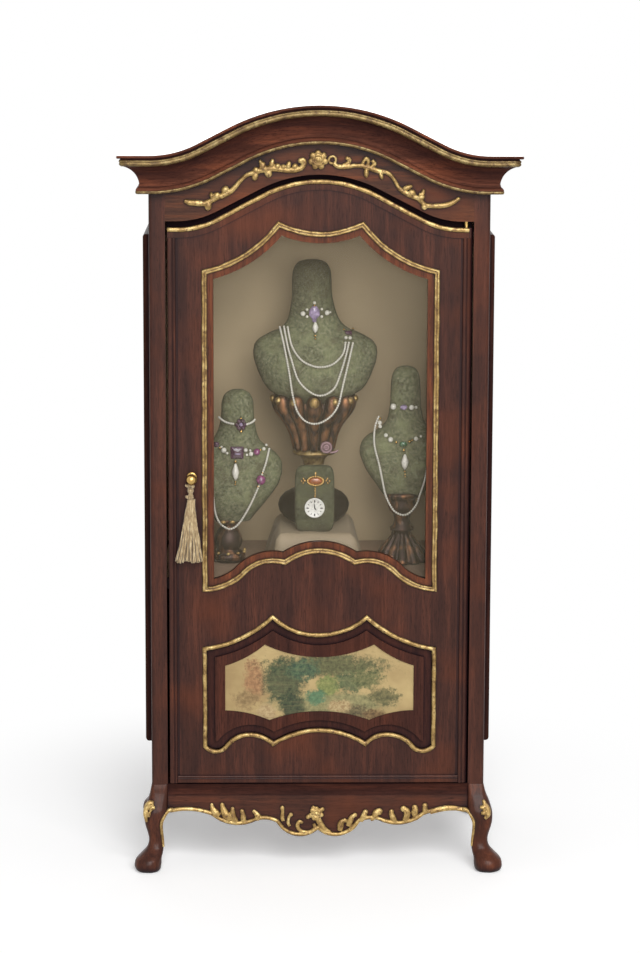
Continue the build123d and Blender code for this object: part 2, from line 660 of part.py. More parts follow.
def low_border(x_from, x_to):
    """The border along the door's bottom edge: a strip with rounded edges and a quirk."""
    with BuildPart(mode=Mode.PRIVATE) as strip:
        with BuildSketch(Plane.YZ.offset(x_from)):
            with Locations((FRONT + FIELD / 2, DOOR_LOW + BORDER / 2)):
                Rectangle(FIELD, BORDER)
        extrude(amount=x_to - x_from)
        long_edges = strip.edges().filter_by(Axis.X).group_by(Axis.Y)[0]
        fillet(long_edges, radius=BORDER_ROUND)
        with Locations(Location(((x_from + x_to) / 2, FRONT, DOOR_LOW + QUIRK[0]), (0, 90, 0))):
            Cylinder(QUIRK[1], x_to - x_from, mode=Mode.SUBTRACT)
    return strip.part


for word, plan, strip_x in (("left", stile_left_plan, (DOOR_LEFT + BORDER, STILE_IN[0])),
                            ("right", stile_right_plan,
                             (STILE_IN[1], DOOR_RIGHT - BORDER_RIGHT))):
    with BuildPart() as stile:
        with BuildSketch(Plane.XY.offset(DOOR_LOW)):
            with BuildLine():
                plan()
            make_face()
            quirk(DOOR_LEFT + QUIRK[0] if word == "left" else DOOR_RIGHT - QUIRK[0] - QUIRK[1])
        extrude(amount=DOOR_CROWN - DOOR_LOW)
        add(low_border(*strip_x))
        add(BLANK, mode=Mode.INTERSECT)
        with Locations((0, FRONT + FIELD / 2, TRIM_LOW + DOOR / 2)):
            Box(2 * HALF, FIELD, DOOR, mode=Mode.SUBTRACT)
        if word == "right":
            with Locations((PIVOT_X, PIVOT_Y, DOOR_LOW + PIN_IN_DOOR / 2),
                           (PIVOT_X, PIVOT_Y, DOOR_END - PIN_IN_DOOR / 2)):
                Cylinder(PIN_RADIUS, PIN_IN_DOOR, mode=Mode.SUBTRACT)
    save(stile.part, f"stile_{word}")


def rail(z_low, z_high):
    """The board between the stiles from z_low to z_high, cut to the window and the panel."""
    with BuildPart(mode=Mode.PRIVATE) as blank:
        with BuildSketch(facing(FRONT + DOOR)):
            with Locations((DOOR_MID, (z_low + z_high) / 2)):
                Rectangle(2 * OPENING, z_high - z_low)
            add(shaped_face(WINDOW, FRONT + DOOR), mode=Mode.SUBTRACT)
            add(shaped_face(PANEL, FRONT + DOOR), mode=Mode.SUBTRACT)
        extrude(amount=DOOR - FIELD)
    return blank.part


with BuildPart() as top_bead:
    with BuildSketch(facing(FIELD_Y)):
        with BuildLine():
            door_hoop(HALF, GILT_TOP)
            door_hoop(HALF, GILT_TOP + BEAD_TOP)
            for x in (-HALF, HALF):
                Line((x, DOOR_END - GILT_TOP), (x, DOOR_END - GILT_TOP - BEAD_TOP))
        make_face()
        with Locations(((DOOR_LEFT + TOP_TRIM_END) / 2, HEIGHT / 2)):
            Rectangle(TOP_TRIM_END - DOOR_LEFT, HEIGHT, mode=Mode.INTERSECT)
    extrude(amount=TOP_BEAD_OUT)

with BuildPart() as door_top_gilt:
    with BuildSketch(facing(FIELD_Y)):
        with BuildLine():
            door_hoop(HALF)
            door_hoop(HALF, GILT_TOP)
            for x in (-HALF, HALF):
                Line((x, DOOR_END), (x, DOOR_END - GILT_TOP))
        make_face()
        with Locations(((DOOR_LEFT + TOP_TRIM_END) / 2, HEIGHT / 2)):
            Rectangle(TOP_TRIM_END - DOOR_LEFT, HEIGHT, mode=Mode.INTERSECT)
    extrude(amount=FIELD)
save(door_top_gilt.part, "door_top_gilt")

with BuildPart() as rail_top:
    add(rail(WINDOW_SIDE[1], HEIGHT))
    add(BLANK, mode=Mode.INTERSECT)
    add(top_bead.part)
save(rail_top.part, "rail_top")

save(rail(PANEL_SIDE[1], WINDOW_LOW[-1][1][1] - TANGENT_GAP), "rail_middle")

with BuildPart() as rail_bottom:
    add(rail(DOOR_LOW, PANEL_BOTTOM[-1][1][1] - TANGENT_GAP))
    add(low_border(*STILE_IN))
save(rail_bottom.part, "rail_bottom")

# window: gilt bead, bevelled slip, pane
PANE_Y = FRONT + DOOR - GLASS
save(shaped_ring(WINDOW, FRONT - GILT_OUT, GILT_OUT + DOOR - GLASS, 0, GILT_WINDOW), "window_gilt")
save(shaped_ring(WINDOW, FIELD_Y + SLIP_BACK, DOOR - GLASS - FIELD - SLIP_BACK, GILT_WINDOW, SLIP),
     "window_slip")
save(shaped_plate(WINDOW, PANE_Y, GLASS), "glass_pane")

# lower panel: gilt bead, raised field and the printed picture pasted on it
PANEL_THICK = 2.0
save(shaped_ring(PANEL, FRONT - GILT_OUT, GILT_OUT + FIELD + PANEL_THICK, 0, GILT_PANEL),
     "panel_gilt")
PANEL_GROOVE = (1.9, 0.7)  # width of the sunk margin inside the gilt, and its depth
PAPER = 0.15
RECESS = 0.45             # the picture lies in a recess of this depth
with BuildPart() as panel_field:
    add(shaped_plate(PANEL, FIELD_Y, PANEL_THICK, GILT_PANEL))
    add(shaped_ring(PANEL, FIELD_Y, PANEL_GROOVE[1], GILT_PANEL, PANEL_GROOVE[0]),
        mode=Mode.SUBTRACT)
    add(shaped_plate(PICTURE, FIELD_Y, RECESS), mode=Mode.SUBTRACT)
save(panel_field.part, "panel_field")
save(shaped_plate(PICTURE, FIELD_Y + RECESS - PAPER, PAPER), "picture")

with BuildPart() as hinge_pins:
    for low, high in ((LEG_HEIGHT - PIN_DEPTH + PIN_END, DOOR_LOW + PIN_IN_DOOR),
                      (DOOR_END - PIN_IN_DOOR, FRIEZE_END + PIN_DEPTH - PIN_END)):
        with Locations((PIVOT_X, PIVOT_Y, (low + high) / 2)):
            Cylinder(PIN_RADIUS, high - low)
save(hinge_pins.part, "hinge_pins")

# ---------------------------------------------------------------- knob and tassel
PLATE = (1.25, 0.4)       # radius and thickness of the knob's back plate
LOOP_Y = FRONT - 1.6
BALL_Y = FRONT - 3.1
to_front = (90, 0, 0)
with BuildPart() as knob:
    with Locations(Location((KNOB[0], FIELD_Y - PLATE[1] / 2, KNOB[1]), to_front)):
        Cylinder(PLATE[0], PLATE[1])
    with Locations(Location((KNOB[0], (FIELD_Y + BALL_Y) / 2, KNOB[1]), to_front)):
        Cylinder(NECK_RADIUS, FIELD_Y - BALL_Y)
    with Locations((KNOB[0], BALL_Y, KNOB[1])):
        Sphere(KNOB_RADIUS)
save(knob.part, "door_knob")

HEAD_RADIUS = 1.1
HEAD_Z = KNOB[1] - LOOP_RADIUS - LOOP_WIRE - HEAD_RADIUS + 0.1    # sunk a little on the loop
BOUND_RADIUS = 0.8        # of the bound neck
BOUND_LOW = 91.4          # lower end of the bound neck
# the skirt's sections: z, y, half width, half depth
SKIRT = [(BOUND_LOW, LOOP_Y, 0.8, 0.75), (88.0, LOOP_Y - 0.2, 1.4, 0.9),
         (76.2, TASSEL_Y, 3.2, 1.2)]
with BuildPart() as tassel_head:
    with Locations(Location((KNOB[0], LOOP_Y, KNOB[1]), to_front)):
        Torus(LOOP_RADIUS, LOOP_WIRE)
    with Locations((KNOB[0], LOOP_Y, HEAD_Z)):
        Sphere(HEAD_RADIUS)
    with Locations((KNOB[0], LOOP_Y, (HEAD_Z + BOUND_LOW) / 2)):
        Cylinder(BOUND_RADIUS, HEAD_Z - BOUND_LOW)
save(tassel_head.part, "tassel_head")

with BuildPart() as tassel_skirt:
    for z, y, half_width, half_depth in SKIRT:
        with BuildSketch(Plane.XY.offset(z)):
            with Locations((KNOB[0], y)):
                Ellipse(half_width, half_depth)
    loft()
save(tassel_skirt.part, "tassel_skirt")

# ---------------------------------------------------------------- display
CLOTH_TOP = SHELF_TOP + CLOTH


def turned(x, y, profile, squash=1.0):
    """A turned piece about an upright axis, from half-profile points (radius, z) that start
    and end on the axis, made narrower from front to back by squash."""
    with BuildPart() as piece:
        with BuildSketch(Plane.XZ):
            with BuildLine():
                Polyline(*profile, close=True)
            make_face()
        revolve(axis=Axis.Z)
        if squash != 1.0:
            scale(by=(1, squash, 1))
    return Pos(x, y, 0) * piece.part


def bust(x, y, corners, radii):
    """A display bust: a turned torso with a stump of neck, flattened front to back."""
    with BuildPart() as piece:
        with BuildSketch(Plane.XZ):
            with BuildLine():
                FilletPolyline(*corners, radius=radii)
                Line(corners[-1], corners[0])
            make_face()
        revolve(axis=Axis.Z)
        scale(by=(1, BUST_THICK, 1))
    return Pos(x, y, 0) * piece.part


MIDDLE_BUST = [(0, 110.6), (10.4, 110.6), (15.7, 124.8), (12.5, 127.9), (6.4, 128.8),
               (5.0, 136.0), (5.0, 146.0), (0, 146.0)]
LEFT_BUST = [(0, 82.0), (4.6, 82.0), (11.9, 92.6), (10.6, 98.8), (5.2, 101.6), (4.4, 105.0),
             (4.4, 114.6), (0, 114.6)]
RIGHT_BUST = [(0, 88.4), (5.2, 88.4), (11.1, 99.0), (9.7, 103.2), (4.9, 105.0), (4.2, 109.0),
              (4.2, 119.7), (0, 119.7)]
URN = [(0, 110.6), (9.9, 110.6), (10.7, 109.6), (10.4, 107.4), (8.2, 104.0), (5.4, 100.2),
       (4.5, 98.2), (5.1, 97.6), (5.1, 96.4), (4.2, 95.8), (2.4, 95.0), (2.2, 91.0), (3.0, 88.6),
       (0, 88.6)]
URN_THICK = 0.72          # the urn is oval, like the bust on it
FOOT = [(0, 88.6), (3.2, 88.6), (7.2, 86.8), (8.6, 84.6), (8.7, 82.0), (7.8, DAIS_TOP),
        (0, DAIS_TOP)]
STAND_LEFT = [(0, 82.0), (2.6, 82.0), (2.6, 81.2), (1.8, 80.4), (2.6, 78.4), (3.4, 76.0),
              (3.0, 74.0), (3.9, 73.4), (4.1, CLOTH_TOP), (0, CLOTH_TOP)]
STAND_RIGHT = [(0, 88.4), (3.7, 88.4), (3.7, 87.4), (2.4, 85.6), (1.9, 81.0), (2.2, 78.8),
               (3.4, 77.4), (5.2, 74.8), (6.5, 72.6), (6.5, CLOTH_TOP), (0, CLOTH_TOP)]
save(turned(MIDDLE_X, BUST_Y, URN, URN_THICK), "urn_middle")
save(turned(MIDDLE_X, BUST_Y, FOOT), "urn_foot")
save(turned(STAND_LEFT_X, SIDE_BUST_Y, STAND_LEFT), "stand_left")
save(turned(STAND_RIGHT_X, SIDE_BUST_Y, STAND_RIGHT), "stand_right")

DAIS_FRONT = FRONT + 11.5
DAIS_DEPTH = 26.0
DAIS_HALF = 9.5
DAIS_SPREAD = 2.2         # how much the silk spreads towards the shelf
with BuildPart() as dais:
    for z, spread in ((CLOTH_TOP, DAIS_SPREAD), (DAIS_TOP, 0.0)):
        with BuildSketch(Plane.XY.offset(z)):
            with Locations((MIDDLE_X, DAIS_FRONT + DAIS_DEPTH / 2)):
                Rectangle(2 * (DAIS_HALF + spread), DAIS_DEPTH + spread)
    loft()
save(dais.part, "draped_dais")

PAD = (9.3, 2.4, 16.8)
PAD_ROUND = 1.2
with BuildPart() as pad:
    with Locations((PAD_X, PAD_Y, DAIS_TOP + PAD[2] / 2)):
        Box(*PAD)
    fillet(pad.edges().filter_by(Axis.Y), radius=PAD_ROUND)
save(pad.part, "watch_pad")

WATCH_Z = 86.05
WATCH_RADIUS = 2.3
BROOCH_Z = 92.9
BROOCH = (3.2, 1.1)       # half width and half height
CHAIN = 0.6               # width of the chain between the brooch and the watch
WATCH_THICK = 0.6
with BuildPart() as watch:
    with BuildSketch(facing(PAD_Y - PAD[1] / 2)):
        with Locations((PAD_X, WATCH_Z)):
            Circle(WATCH_RADIUS)
        with Locations((PAD_X, (WATCH_Z + BROOCH_Z) / 2)):
            Rectangle(CHAIN, BROOCH_Z - WATCH_Z)
        with Locations((PAD_X, BROOCH_Z)):
            Ellipse(*BROOCH)
    extrude(amount=WATCH_THICK)
save(watch.part, "brooch_watch")

BEAD = 0.36               # radius of a strand of seed beads
STONE = 0.7               # how far a set stone stands out
STRAND_CLEAR = 0.2        # a strand's middle hangs this far in front of the chest
CHEST_MIDDLE = 13.5       # half width of the tall bust where its strands hang, and of a low one
CHEST_SIDE = 10.0
MIDDLE_Y = BUST_Y - BUST_THICK * CHEST_MIDDLE - STRAND_CLEAR
SIDE_Y = SIDE_BUST_Y - BUST_THICK * CHEST_SIDE - STRAND_CLEAR
MIDDLE_ROUNDING = [0.6, 2.2, 1.2, 1.4, 4.0, 2.4]
LEFT_ROUNDING = [0.6, 3.0, 2.0, 1.0, 2.0, 2.2]
RIGHT_ROUNDING = [0.6, 3.0, 1.6, 1.0, 2.0, 2.2]
# strands as the corners of their line, x and z, with the radius that rounds the corners
MIDDLE_STRANDS = [([(-7.3, 129.8), (-4.4, 120.0), (4.4, 120.0), (6.6, 126.3)], 2.8),
                  ([(-8.2, 129.8), (-4.6, 112.6), (4.6, 112.6), (7.6, 125.8)], 3.4),
                  ([(-9.2, 129.6), (-5.2, 105.8), (4.4, 105.8), (8.3, 125.8)], 3.4)]
LEFT_STRANDS = [([(-12.3, 100.9), (-14.6, 90.5), (-18.8, 80.9), (-24.3, 80.9), (-26.2, 92.0)],
                 2.6)]
RIGHT_STRANDS = [([(14.8, 107.2), (13.9, 102.0), (17.4, 84.4), (23.8, 84.4), (26.6, 97.3)], 2.6)]
# set stones and pearls: x, z, half width, half height
MIDDLE_STONES = [(-0.9, 133.5, 1.4, 2.0), (-3.5, 133.3, 0.7, 0.7), (2.2, 133.4, 0.7, 0.7),
                 (-0.7, 130.2, 0.6, 1.2), (7.4, 128.4, 1.2, 0.9)]
LEFT_STONES = [(-18.6, 106.8, 4.0, 0.6), (-19.8, 99.9, 6.6, 1.0), (-19.8, 94.9, 0.8, 2.0),
               (-14.3, 92.7, 1.3, 1.3)]
RIGHT_STONES = [(20.9, 110.3, 3.6, 0.8), (21.0, 101.8, 4.6, 1.1), (21.0, 97.3, 0.8, 2.0)]


def strand(y, corners, radius):
    """A hanging strand of beads as one round tube in a plane that faces the front."""
    with BuildPart() as tube:
        with BuildLine(facing(y)) as run:
            FilletPolyline(*corners, radius=radius)
        with BuildSketch(Plane(origin=run.line @ 0, z_dir=run.line % 0)):
            Circle(BEAD)
        sweep(path=run.wire())
    return tube.part


def set_stones(y, spots):
    """Stones and pearls as small oval plates that face the front."""
    with BuildPart() as stones:
        with BuildSketch(facing(y)):
            for x, z, half_width, half_height in spots:
                with Locations((x, z)):
                    Ellipse(half_width, half_height)
        extrude(amount=STONE)
    return stones.part


def dressed_bust(word, x, y, profile, rounding, chest_y, strands, stones):
    """A bust and its necklace, which is cut away where it would sink into the bust."""
    torso = bust(x, y, profile, rounding)
    save(torso, f"bust_{word}")
    with BuildPart() as worn:
        for corners, radius in strands:
            add(strand(chest_y, corners, radius))
        add(set_stones(chest_y, stones))
        add(torso, mode=Mode.SUBTRACT)
    save(worn.part, f"necklace_{word}")


dressed_bust("middle", MIDDLE_X, BUST_Y, MIDDLE_BUST, MIDDLE_ROUNDING, MIDDLE_Y, MIDDLE_STRANDS,
             MIDDLE_STONES)
dressed_bust("left", LEFT_X, SIDE_BUST_Y, LEFT_BUST, LEFT_ROUNDING, SIDE_Y, LEFT_STRANDS,
             LEFT_STONES)
dressed_bust("right", RIGHT_X, SIDE_BUST_Y, RIGHT_BUST, RIGHT_ROUNDING, SIDE_Y, RIGHT_STRANDS,
             RIGHT_STONES)
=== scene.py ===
import math
import random

import bmesh
import bpy
from mathutils import Matrix, Vector, noise


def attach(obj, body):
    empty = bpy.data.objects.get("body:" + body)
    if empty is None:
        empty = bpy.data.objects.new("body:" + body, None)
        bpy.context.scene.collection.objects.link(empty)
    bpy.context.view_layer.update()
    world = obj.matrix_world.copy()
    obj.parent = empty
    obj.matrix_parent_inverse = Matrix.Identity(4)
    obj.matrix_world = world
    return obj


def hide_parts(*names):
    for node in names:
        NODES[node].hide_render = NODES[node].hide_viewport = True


# The armoire's looks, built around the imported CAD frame. Lengths below are millimetres in the
# part's own frame (front towards -Y, up +Z) and turn into metres where a mesh is made.

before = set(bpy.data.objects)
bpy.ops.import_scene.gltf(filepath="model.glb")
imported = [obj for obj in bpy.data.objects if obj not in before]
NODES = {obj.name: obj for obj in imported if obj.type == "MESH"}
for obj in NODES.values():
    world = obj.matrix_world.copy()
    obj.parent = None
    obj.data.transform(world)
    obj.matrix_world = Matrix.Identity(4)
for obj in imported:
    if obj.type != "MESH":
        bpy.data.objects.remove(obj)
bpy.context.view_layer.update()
MM = 0.001

# ---------------------------------------------------------------- the armoire's main sizes
FRONT = -20.5             # y of the posts' front faces
BACK = 27.5
HALF = 40.0               # half width over the posts
POST = 3.85               # width of a corner post
FIELD_Y = FRONT + 0.4     # face of the door's field
DOOR_MID = 0.3            # x of the middle of the window and the panel
# hooped lines: height of the crown and of the flat ends, reach, radii of crown and hollows
CORNICE_HOOP = (175.4, 163.75, 39.5, 36.6, 33.0)
DOOR_HOOP = (167.0, 155.7, 33.2, 28.4, 19.0)


# ---------------------------------------------------------------- shapes
def arc(start, through, end, steps=10):
    """Points on the circle through three points, from the first to the last."""
    (x1, y1), (x2, y2), (x3, y3) = start, through, end
    d = 2 * (x1 * (y2 - y3) + x2 * (y3 - y1) + x3 * (y1 - y2))
    a, b, c = x1 ** 2 + y1 ** 2, x2 ** 2 + y2 ** 2, x3 ** 2 + y3 ** 2
    cx = (a * (y2 - y3) + b * (y3 - y1) + c * (y1 - y2)) / d
    cy = (a * (x3 - x2) + b * (x1 - x3) + c * (x2 - x1)) / d
    radius = math.hypot(x1 - cx, y1 - cy)
    begin, middle, finish = (math.atan2(y - cy, x - cx) for x, y in (start, through, end))
    full = 2 * math.pi
    sweep = (finish - begin) % full
    if (middle - begin) % full > sweep:
        sweep -= full
    return [(cx + radius * math.cos(begin + sweep * i / steps),
             cy + radius * math.sin(begin + sweep * i / steps)) for i in range(steps + 1)]


def chain(mid, triples, steps=10):
    """Three-point arcs of the left half and their mirror images, as one line from left to right."""
    line = []
    for triple in triples:
        line += arc(*triple, steps)
    if triples[-1][2][0] > 0:
        whole, line = line[-steps - 1:], line[:-steps - 1]
        line = line + whole + [(-x, z) for x, z in reversed(line)]
    else:
        line = line + [(-x, z) for x, z in reversed(line)]
    clean = []
    for x, z in line:
        if not clean or math.dist(clean[-1], (x + mid, z)) > 0.02:
            clean.append((x + mid, z))
    return clean


def straight(start, end, steps=10):
    """Evenly spaced points between two points, without the two."""
    return [(start[0] + (end[0] - start[0]) * i / steps, start[1] + (end[1] - start[1]) * i / steps)
            for i in range(1, steps)]


def outline(top, low):
    """The closed outline of a shaped opening, clockwise from its upper left corner."""
    upper = chain(DOOR_MID, top)
    lower = chain(DOOR_MID, low)
    left = straight(lower[0], upper[0], 24)
    right = straight(upper[-1], lower[-1], 24)
    return upper + right + list(reversed(lower)) + left


def hoop(half, z_crown, z_end, reach, radius, hollow, steps=24):
    """The armoire's hooped line: flat ends, hollow arcs, short straights and a round crown."""
    total = radius + hollow
    left_over = total - (z_crown - z_end)
    turn = math.atan2(reach, left_over) - math.acos(total / math.hypot(left_over, reach))
    foot = [(-reach + hollow * math.sin(turn * i / steps),
             z_end + hollow * (1 - math.cos(turn * i / steps))) for i in range(steps + 1)]
    crown = [(-radius * math.sin(turn * i / steps),
              z_crown - radius * (1 - math.cos(turn * i / steps))) for i in range(steps, 0, -1)]
    left = ([(-half, z_end)] + straight((-half, z_end), foot[0], 4) + foot
            + straight(foot[-1], crown[0], 8) + crown)
    return left + [(0.0, z_crown)] + [(-x, z) for x, z in reversed(left)]


def curved(points, steps=6):
    """A smooth line through points of any number of values (Catmull-Rom)."""
    p = [points[0]] + list(points) + [points[-1]]
    line = []
    for i in range(1, len(p) - 2):
        for s in range(steps):
            t = s / steps
            line.append(tuple(
                0.5 * (2 * b + (c - a) * t + (2 * a - 5 * b + 4 * c - d) * t * t
                       + (3 * b - a - 3 * c + d) * t ** 3)
                for a, b, c, d in zip(p[i - 1], p[i], p[i + 1], p[i + 2])))
    line.append(tuple(points[-1]))
    return line


def inward(path, closed):
    """At each point of a line seen from the front, the mitred normal to the right of its course."""
    normals = []
    count = len(path)
    for i, (x, z) in enumerate(path):
        before = path[i - 1] if i or closed else path[i]
        after = path[(i + 1) % count] if i < count - 1 or closed else path[i]
        one = Vector((x - before[0], z - before[1]))
        two = Vector((after[0] - x, after[1] - z))
        if one.length < 1e-6:
            one = two
        if two.length < 1e-6:
            two = one
        n1 = Vector((one[1], -one[0])).normalized()
        n2 = Vector((two[1], -two[0])).normalized()
        n = (n1 + n2).normalized()
        normals.append(n / max(0.6, n.dot(n1)))
    return normals


def angles(count, start=0.0, shift=0.0):
    """Even angles round a full turn. shift moves them on by a part of a step."""
    return [start + 2 * math.pi * (i + shift) / count for i in range(count)]


def ripple(*where):
    """Smooth noise from -1 to 1 that is the same in each run."""
    return noise.noise(Vector((*where, 0.0, 0.0)[:3]))


class Clay:
    """Collects the shapes of one piece, in millimetres."""

    def __init__(self):
        self.points = []
        self.faces = []

    def skin(self, rings, closed=True, loop=False):
        """Joins rings of points in order. closed joins each ring's ends; loop joins the last ring
        to the first. A row of closed rings that isn't a loop gets flat ends."""
        base = len(self.points)
        count = len(rings[0])
        for points in rings:
            self.points.extend(tuple(p) for p in points)
        for i in range(len(rings) if loop else len(rings) - 1):
            a = base + i * count
            b = base + (i + 1) % len(rings) * count
            for j in range(count if closed else count - 1):
                k = (j + 1) % count
                self.faces.append((a + j, a + k, b + k, b + j))
        if closed and not loop:
            self.faces.append(tuple(base + j for j in reversed(range(count))))
            last = base + (len(rings) - 1) * count
            self.faces.append(tuple(last + j for j in range(count)))

    def tube(self, points, radius, sides=8, steps=6, flat=1.0):
        """A round bar along a smooth line. radius is one value or one for each point; flat
        narrows it from front to back."""
        radii = radius if isinstance(radius, (list, tuple)) else [radius] * len(points)
        line = curved([(*p, r) for p, r in zip(points, radii)], steps)
        up = Vector((0, 1, 0))
        rings = []
        for i, spot in enumerate(line):
            here = Vector(spot[:3])
            ahead = Vector(line[min(i + 1, len(line) - 1)][:3])
            behind = Vector(line[max(i - 1, 0)][:3])
            course = (ahead - behind).normalized()
            side = course.cross(up)
            side = side.normalized() if side.length > 0.05 else course.orthogonal().normalized()
            front = side.cross(course)
            up = front
            r = max(spot[3], 0.02)
            rings.append([here + side * r * math.cos(a) + front * r * flat * math.sin(a)
                          for a in angles(sides)])
        self.skin(rings)

    def ball(self, place, radii, sides=12, rows=8, lean=0.0):
        """An ellipsoid, leant over sideways by an angle in degrees."""
        turn = Matrix.Rotation(math.radians(lean), 3, "Y")
        radii = radii if isinstance(radii, (list, tuple)) else (radii,) * 3
        rings = []
        for i in range(rows + 1):
            polar = math.pi * min(max(i / rows, 0.02), 0.98)
            level = []
            for a in angles(sides):
                p = Vector((radii[0] * math.sin(polar) * math.cos(a),
                            radii[1] * math.sin(polar) * math.sin(a),
                            radii[2] * math.cos(polar)))
                level.append(Vector(place) + turn @ p)
            rings.append(level)
        self.skin(rings)

    def turned(self, place, profile, sides=32, squash=1.0, shape=None):
        """A turned shape from (radius, z) points; shape(angle, z) swells it."""
        rings = []
        for radius, z in profile:
            level = []
            for a in angles(sides):
                r = radius * (shape(a, z) if shape else 1.0)
                level.append((place[0] + r * math.cos(a), place[1] + r * squash * math.sin(a), z))
            rings.append(level)
        self.skin(rings)

    def turned_forward(self, x, z, profile, sides):
        """A shape turned about a line from back to front, through (y, radius) points."""
        self.skin([[(x + r * math.cos(a), y, z + r * math.sin(a)) for a in angles(sides)]
                   for y, r in profile])

    def moulding(self, path, section, closed=True, wobble=0.0, seed=0.0):
        """A section of (inward, y) points carried along a line seen from the front."""
        rings = []
        for (x, z), n in zip(path, inward(path, closed)):
            sway = wobble * ripple(x * 0.23 + seed, z * 0.23)
            swell = 1 + wobble * 1.6 * ripple(x * 0.4, z * 0.4 + seed)
            middle = (section[0][0] + section[-1][0]) / 2
            rings.append([(x + n[0] * (middle + (d - middle) * swell + sway), depth,
                           z + n[1] * (middle + (d - middle) * swell + sway))
                          for d, depth in section])
        self.skin(rings, closed=True, loop=closed)


def piece(name, clay, material, body, smooth=True, replaces=()):
    """Makes a piece from its clay and lets it ride on a body."""
    mesh = bpy.data.meshes.new(name)
    mesh.from_pydata([[v * MM for v in p] for p in clay.points], [], clay.faces)
    work = bmesh.new()
    work.from_mesh(mesh)
    bmesh.ops.recalc_face_normals(work, faces=work.faces)
    work.to_mesh(mesh)
    work.free()
    if smooth:
        mesh.shade_smooth()
    else:
        mesh.shade_flat()
    obj = bpy.data.objects.new(name, mesh)
    bpy.context.scene.collection.objects.link(obj)
    mesh.materials.append(material)
    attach(obj, body)
    if replaces:
        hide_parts(*replaces)
    return obj


def melt(obj, voxel, rounds=4, factor=0.5):
    """Fuses the overlapping shapes of a piece into one skin, like a cast or carved ornament."""
    remesh = obj.modifiers.new("melt", "REMESH")
    remesh.mode = "VOXEL"
    remesh.voxel_size = voxel * MM
    soften = obj.modifiers.new("soften", "SMOOTH")
    soften.factor = factor
    soften.iterations = rounds
    bake_modifiers(obj)


def bake_modifiers(obj):
    """Turns what an object's modifiers make into its own mesh."""
    graph = bpy.context.evaluated_depsgraph_get()
    made = bpy.data.meshes.new_from_object(obj.evaluated_get(graph))
    obj.modifiers.clear()
    obj.data = made
    made.shade_smooth()


# ---------------------------------------------------------------- node materials
def tint(red, green, blue):
    """A colour as it looks on a screen, 0 to 255, as the linear colour that shaders use."""
    linear = []
    for value in (red, green, blue):
        c = value / 255
        linear.append(c / 12.92 if c <= 0.04045 else ((c + 0.055) / 1.055) ** 2.4)
    return (*linear, 1.0)


def shaded(colour, tone):
    """A linear colour made darker or lighter."""
    return tuple(c * tone for c in colour[:3]) + (1.0,)


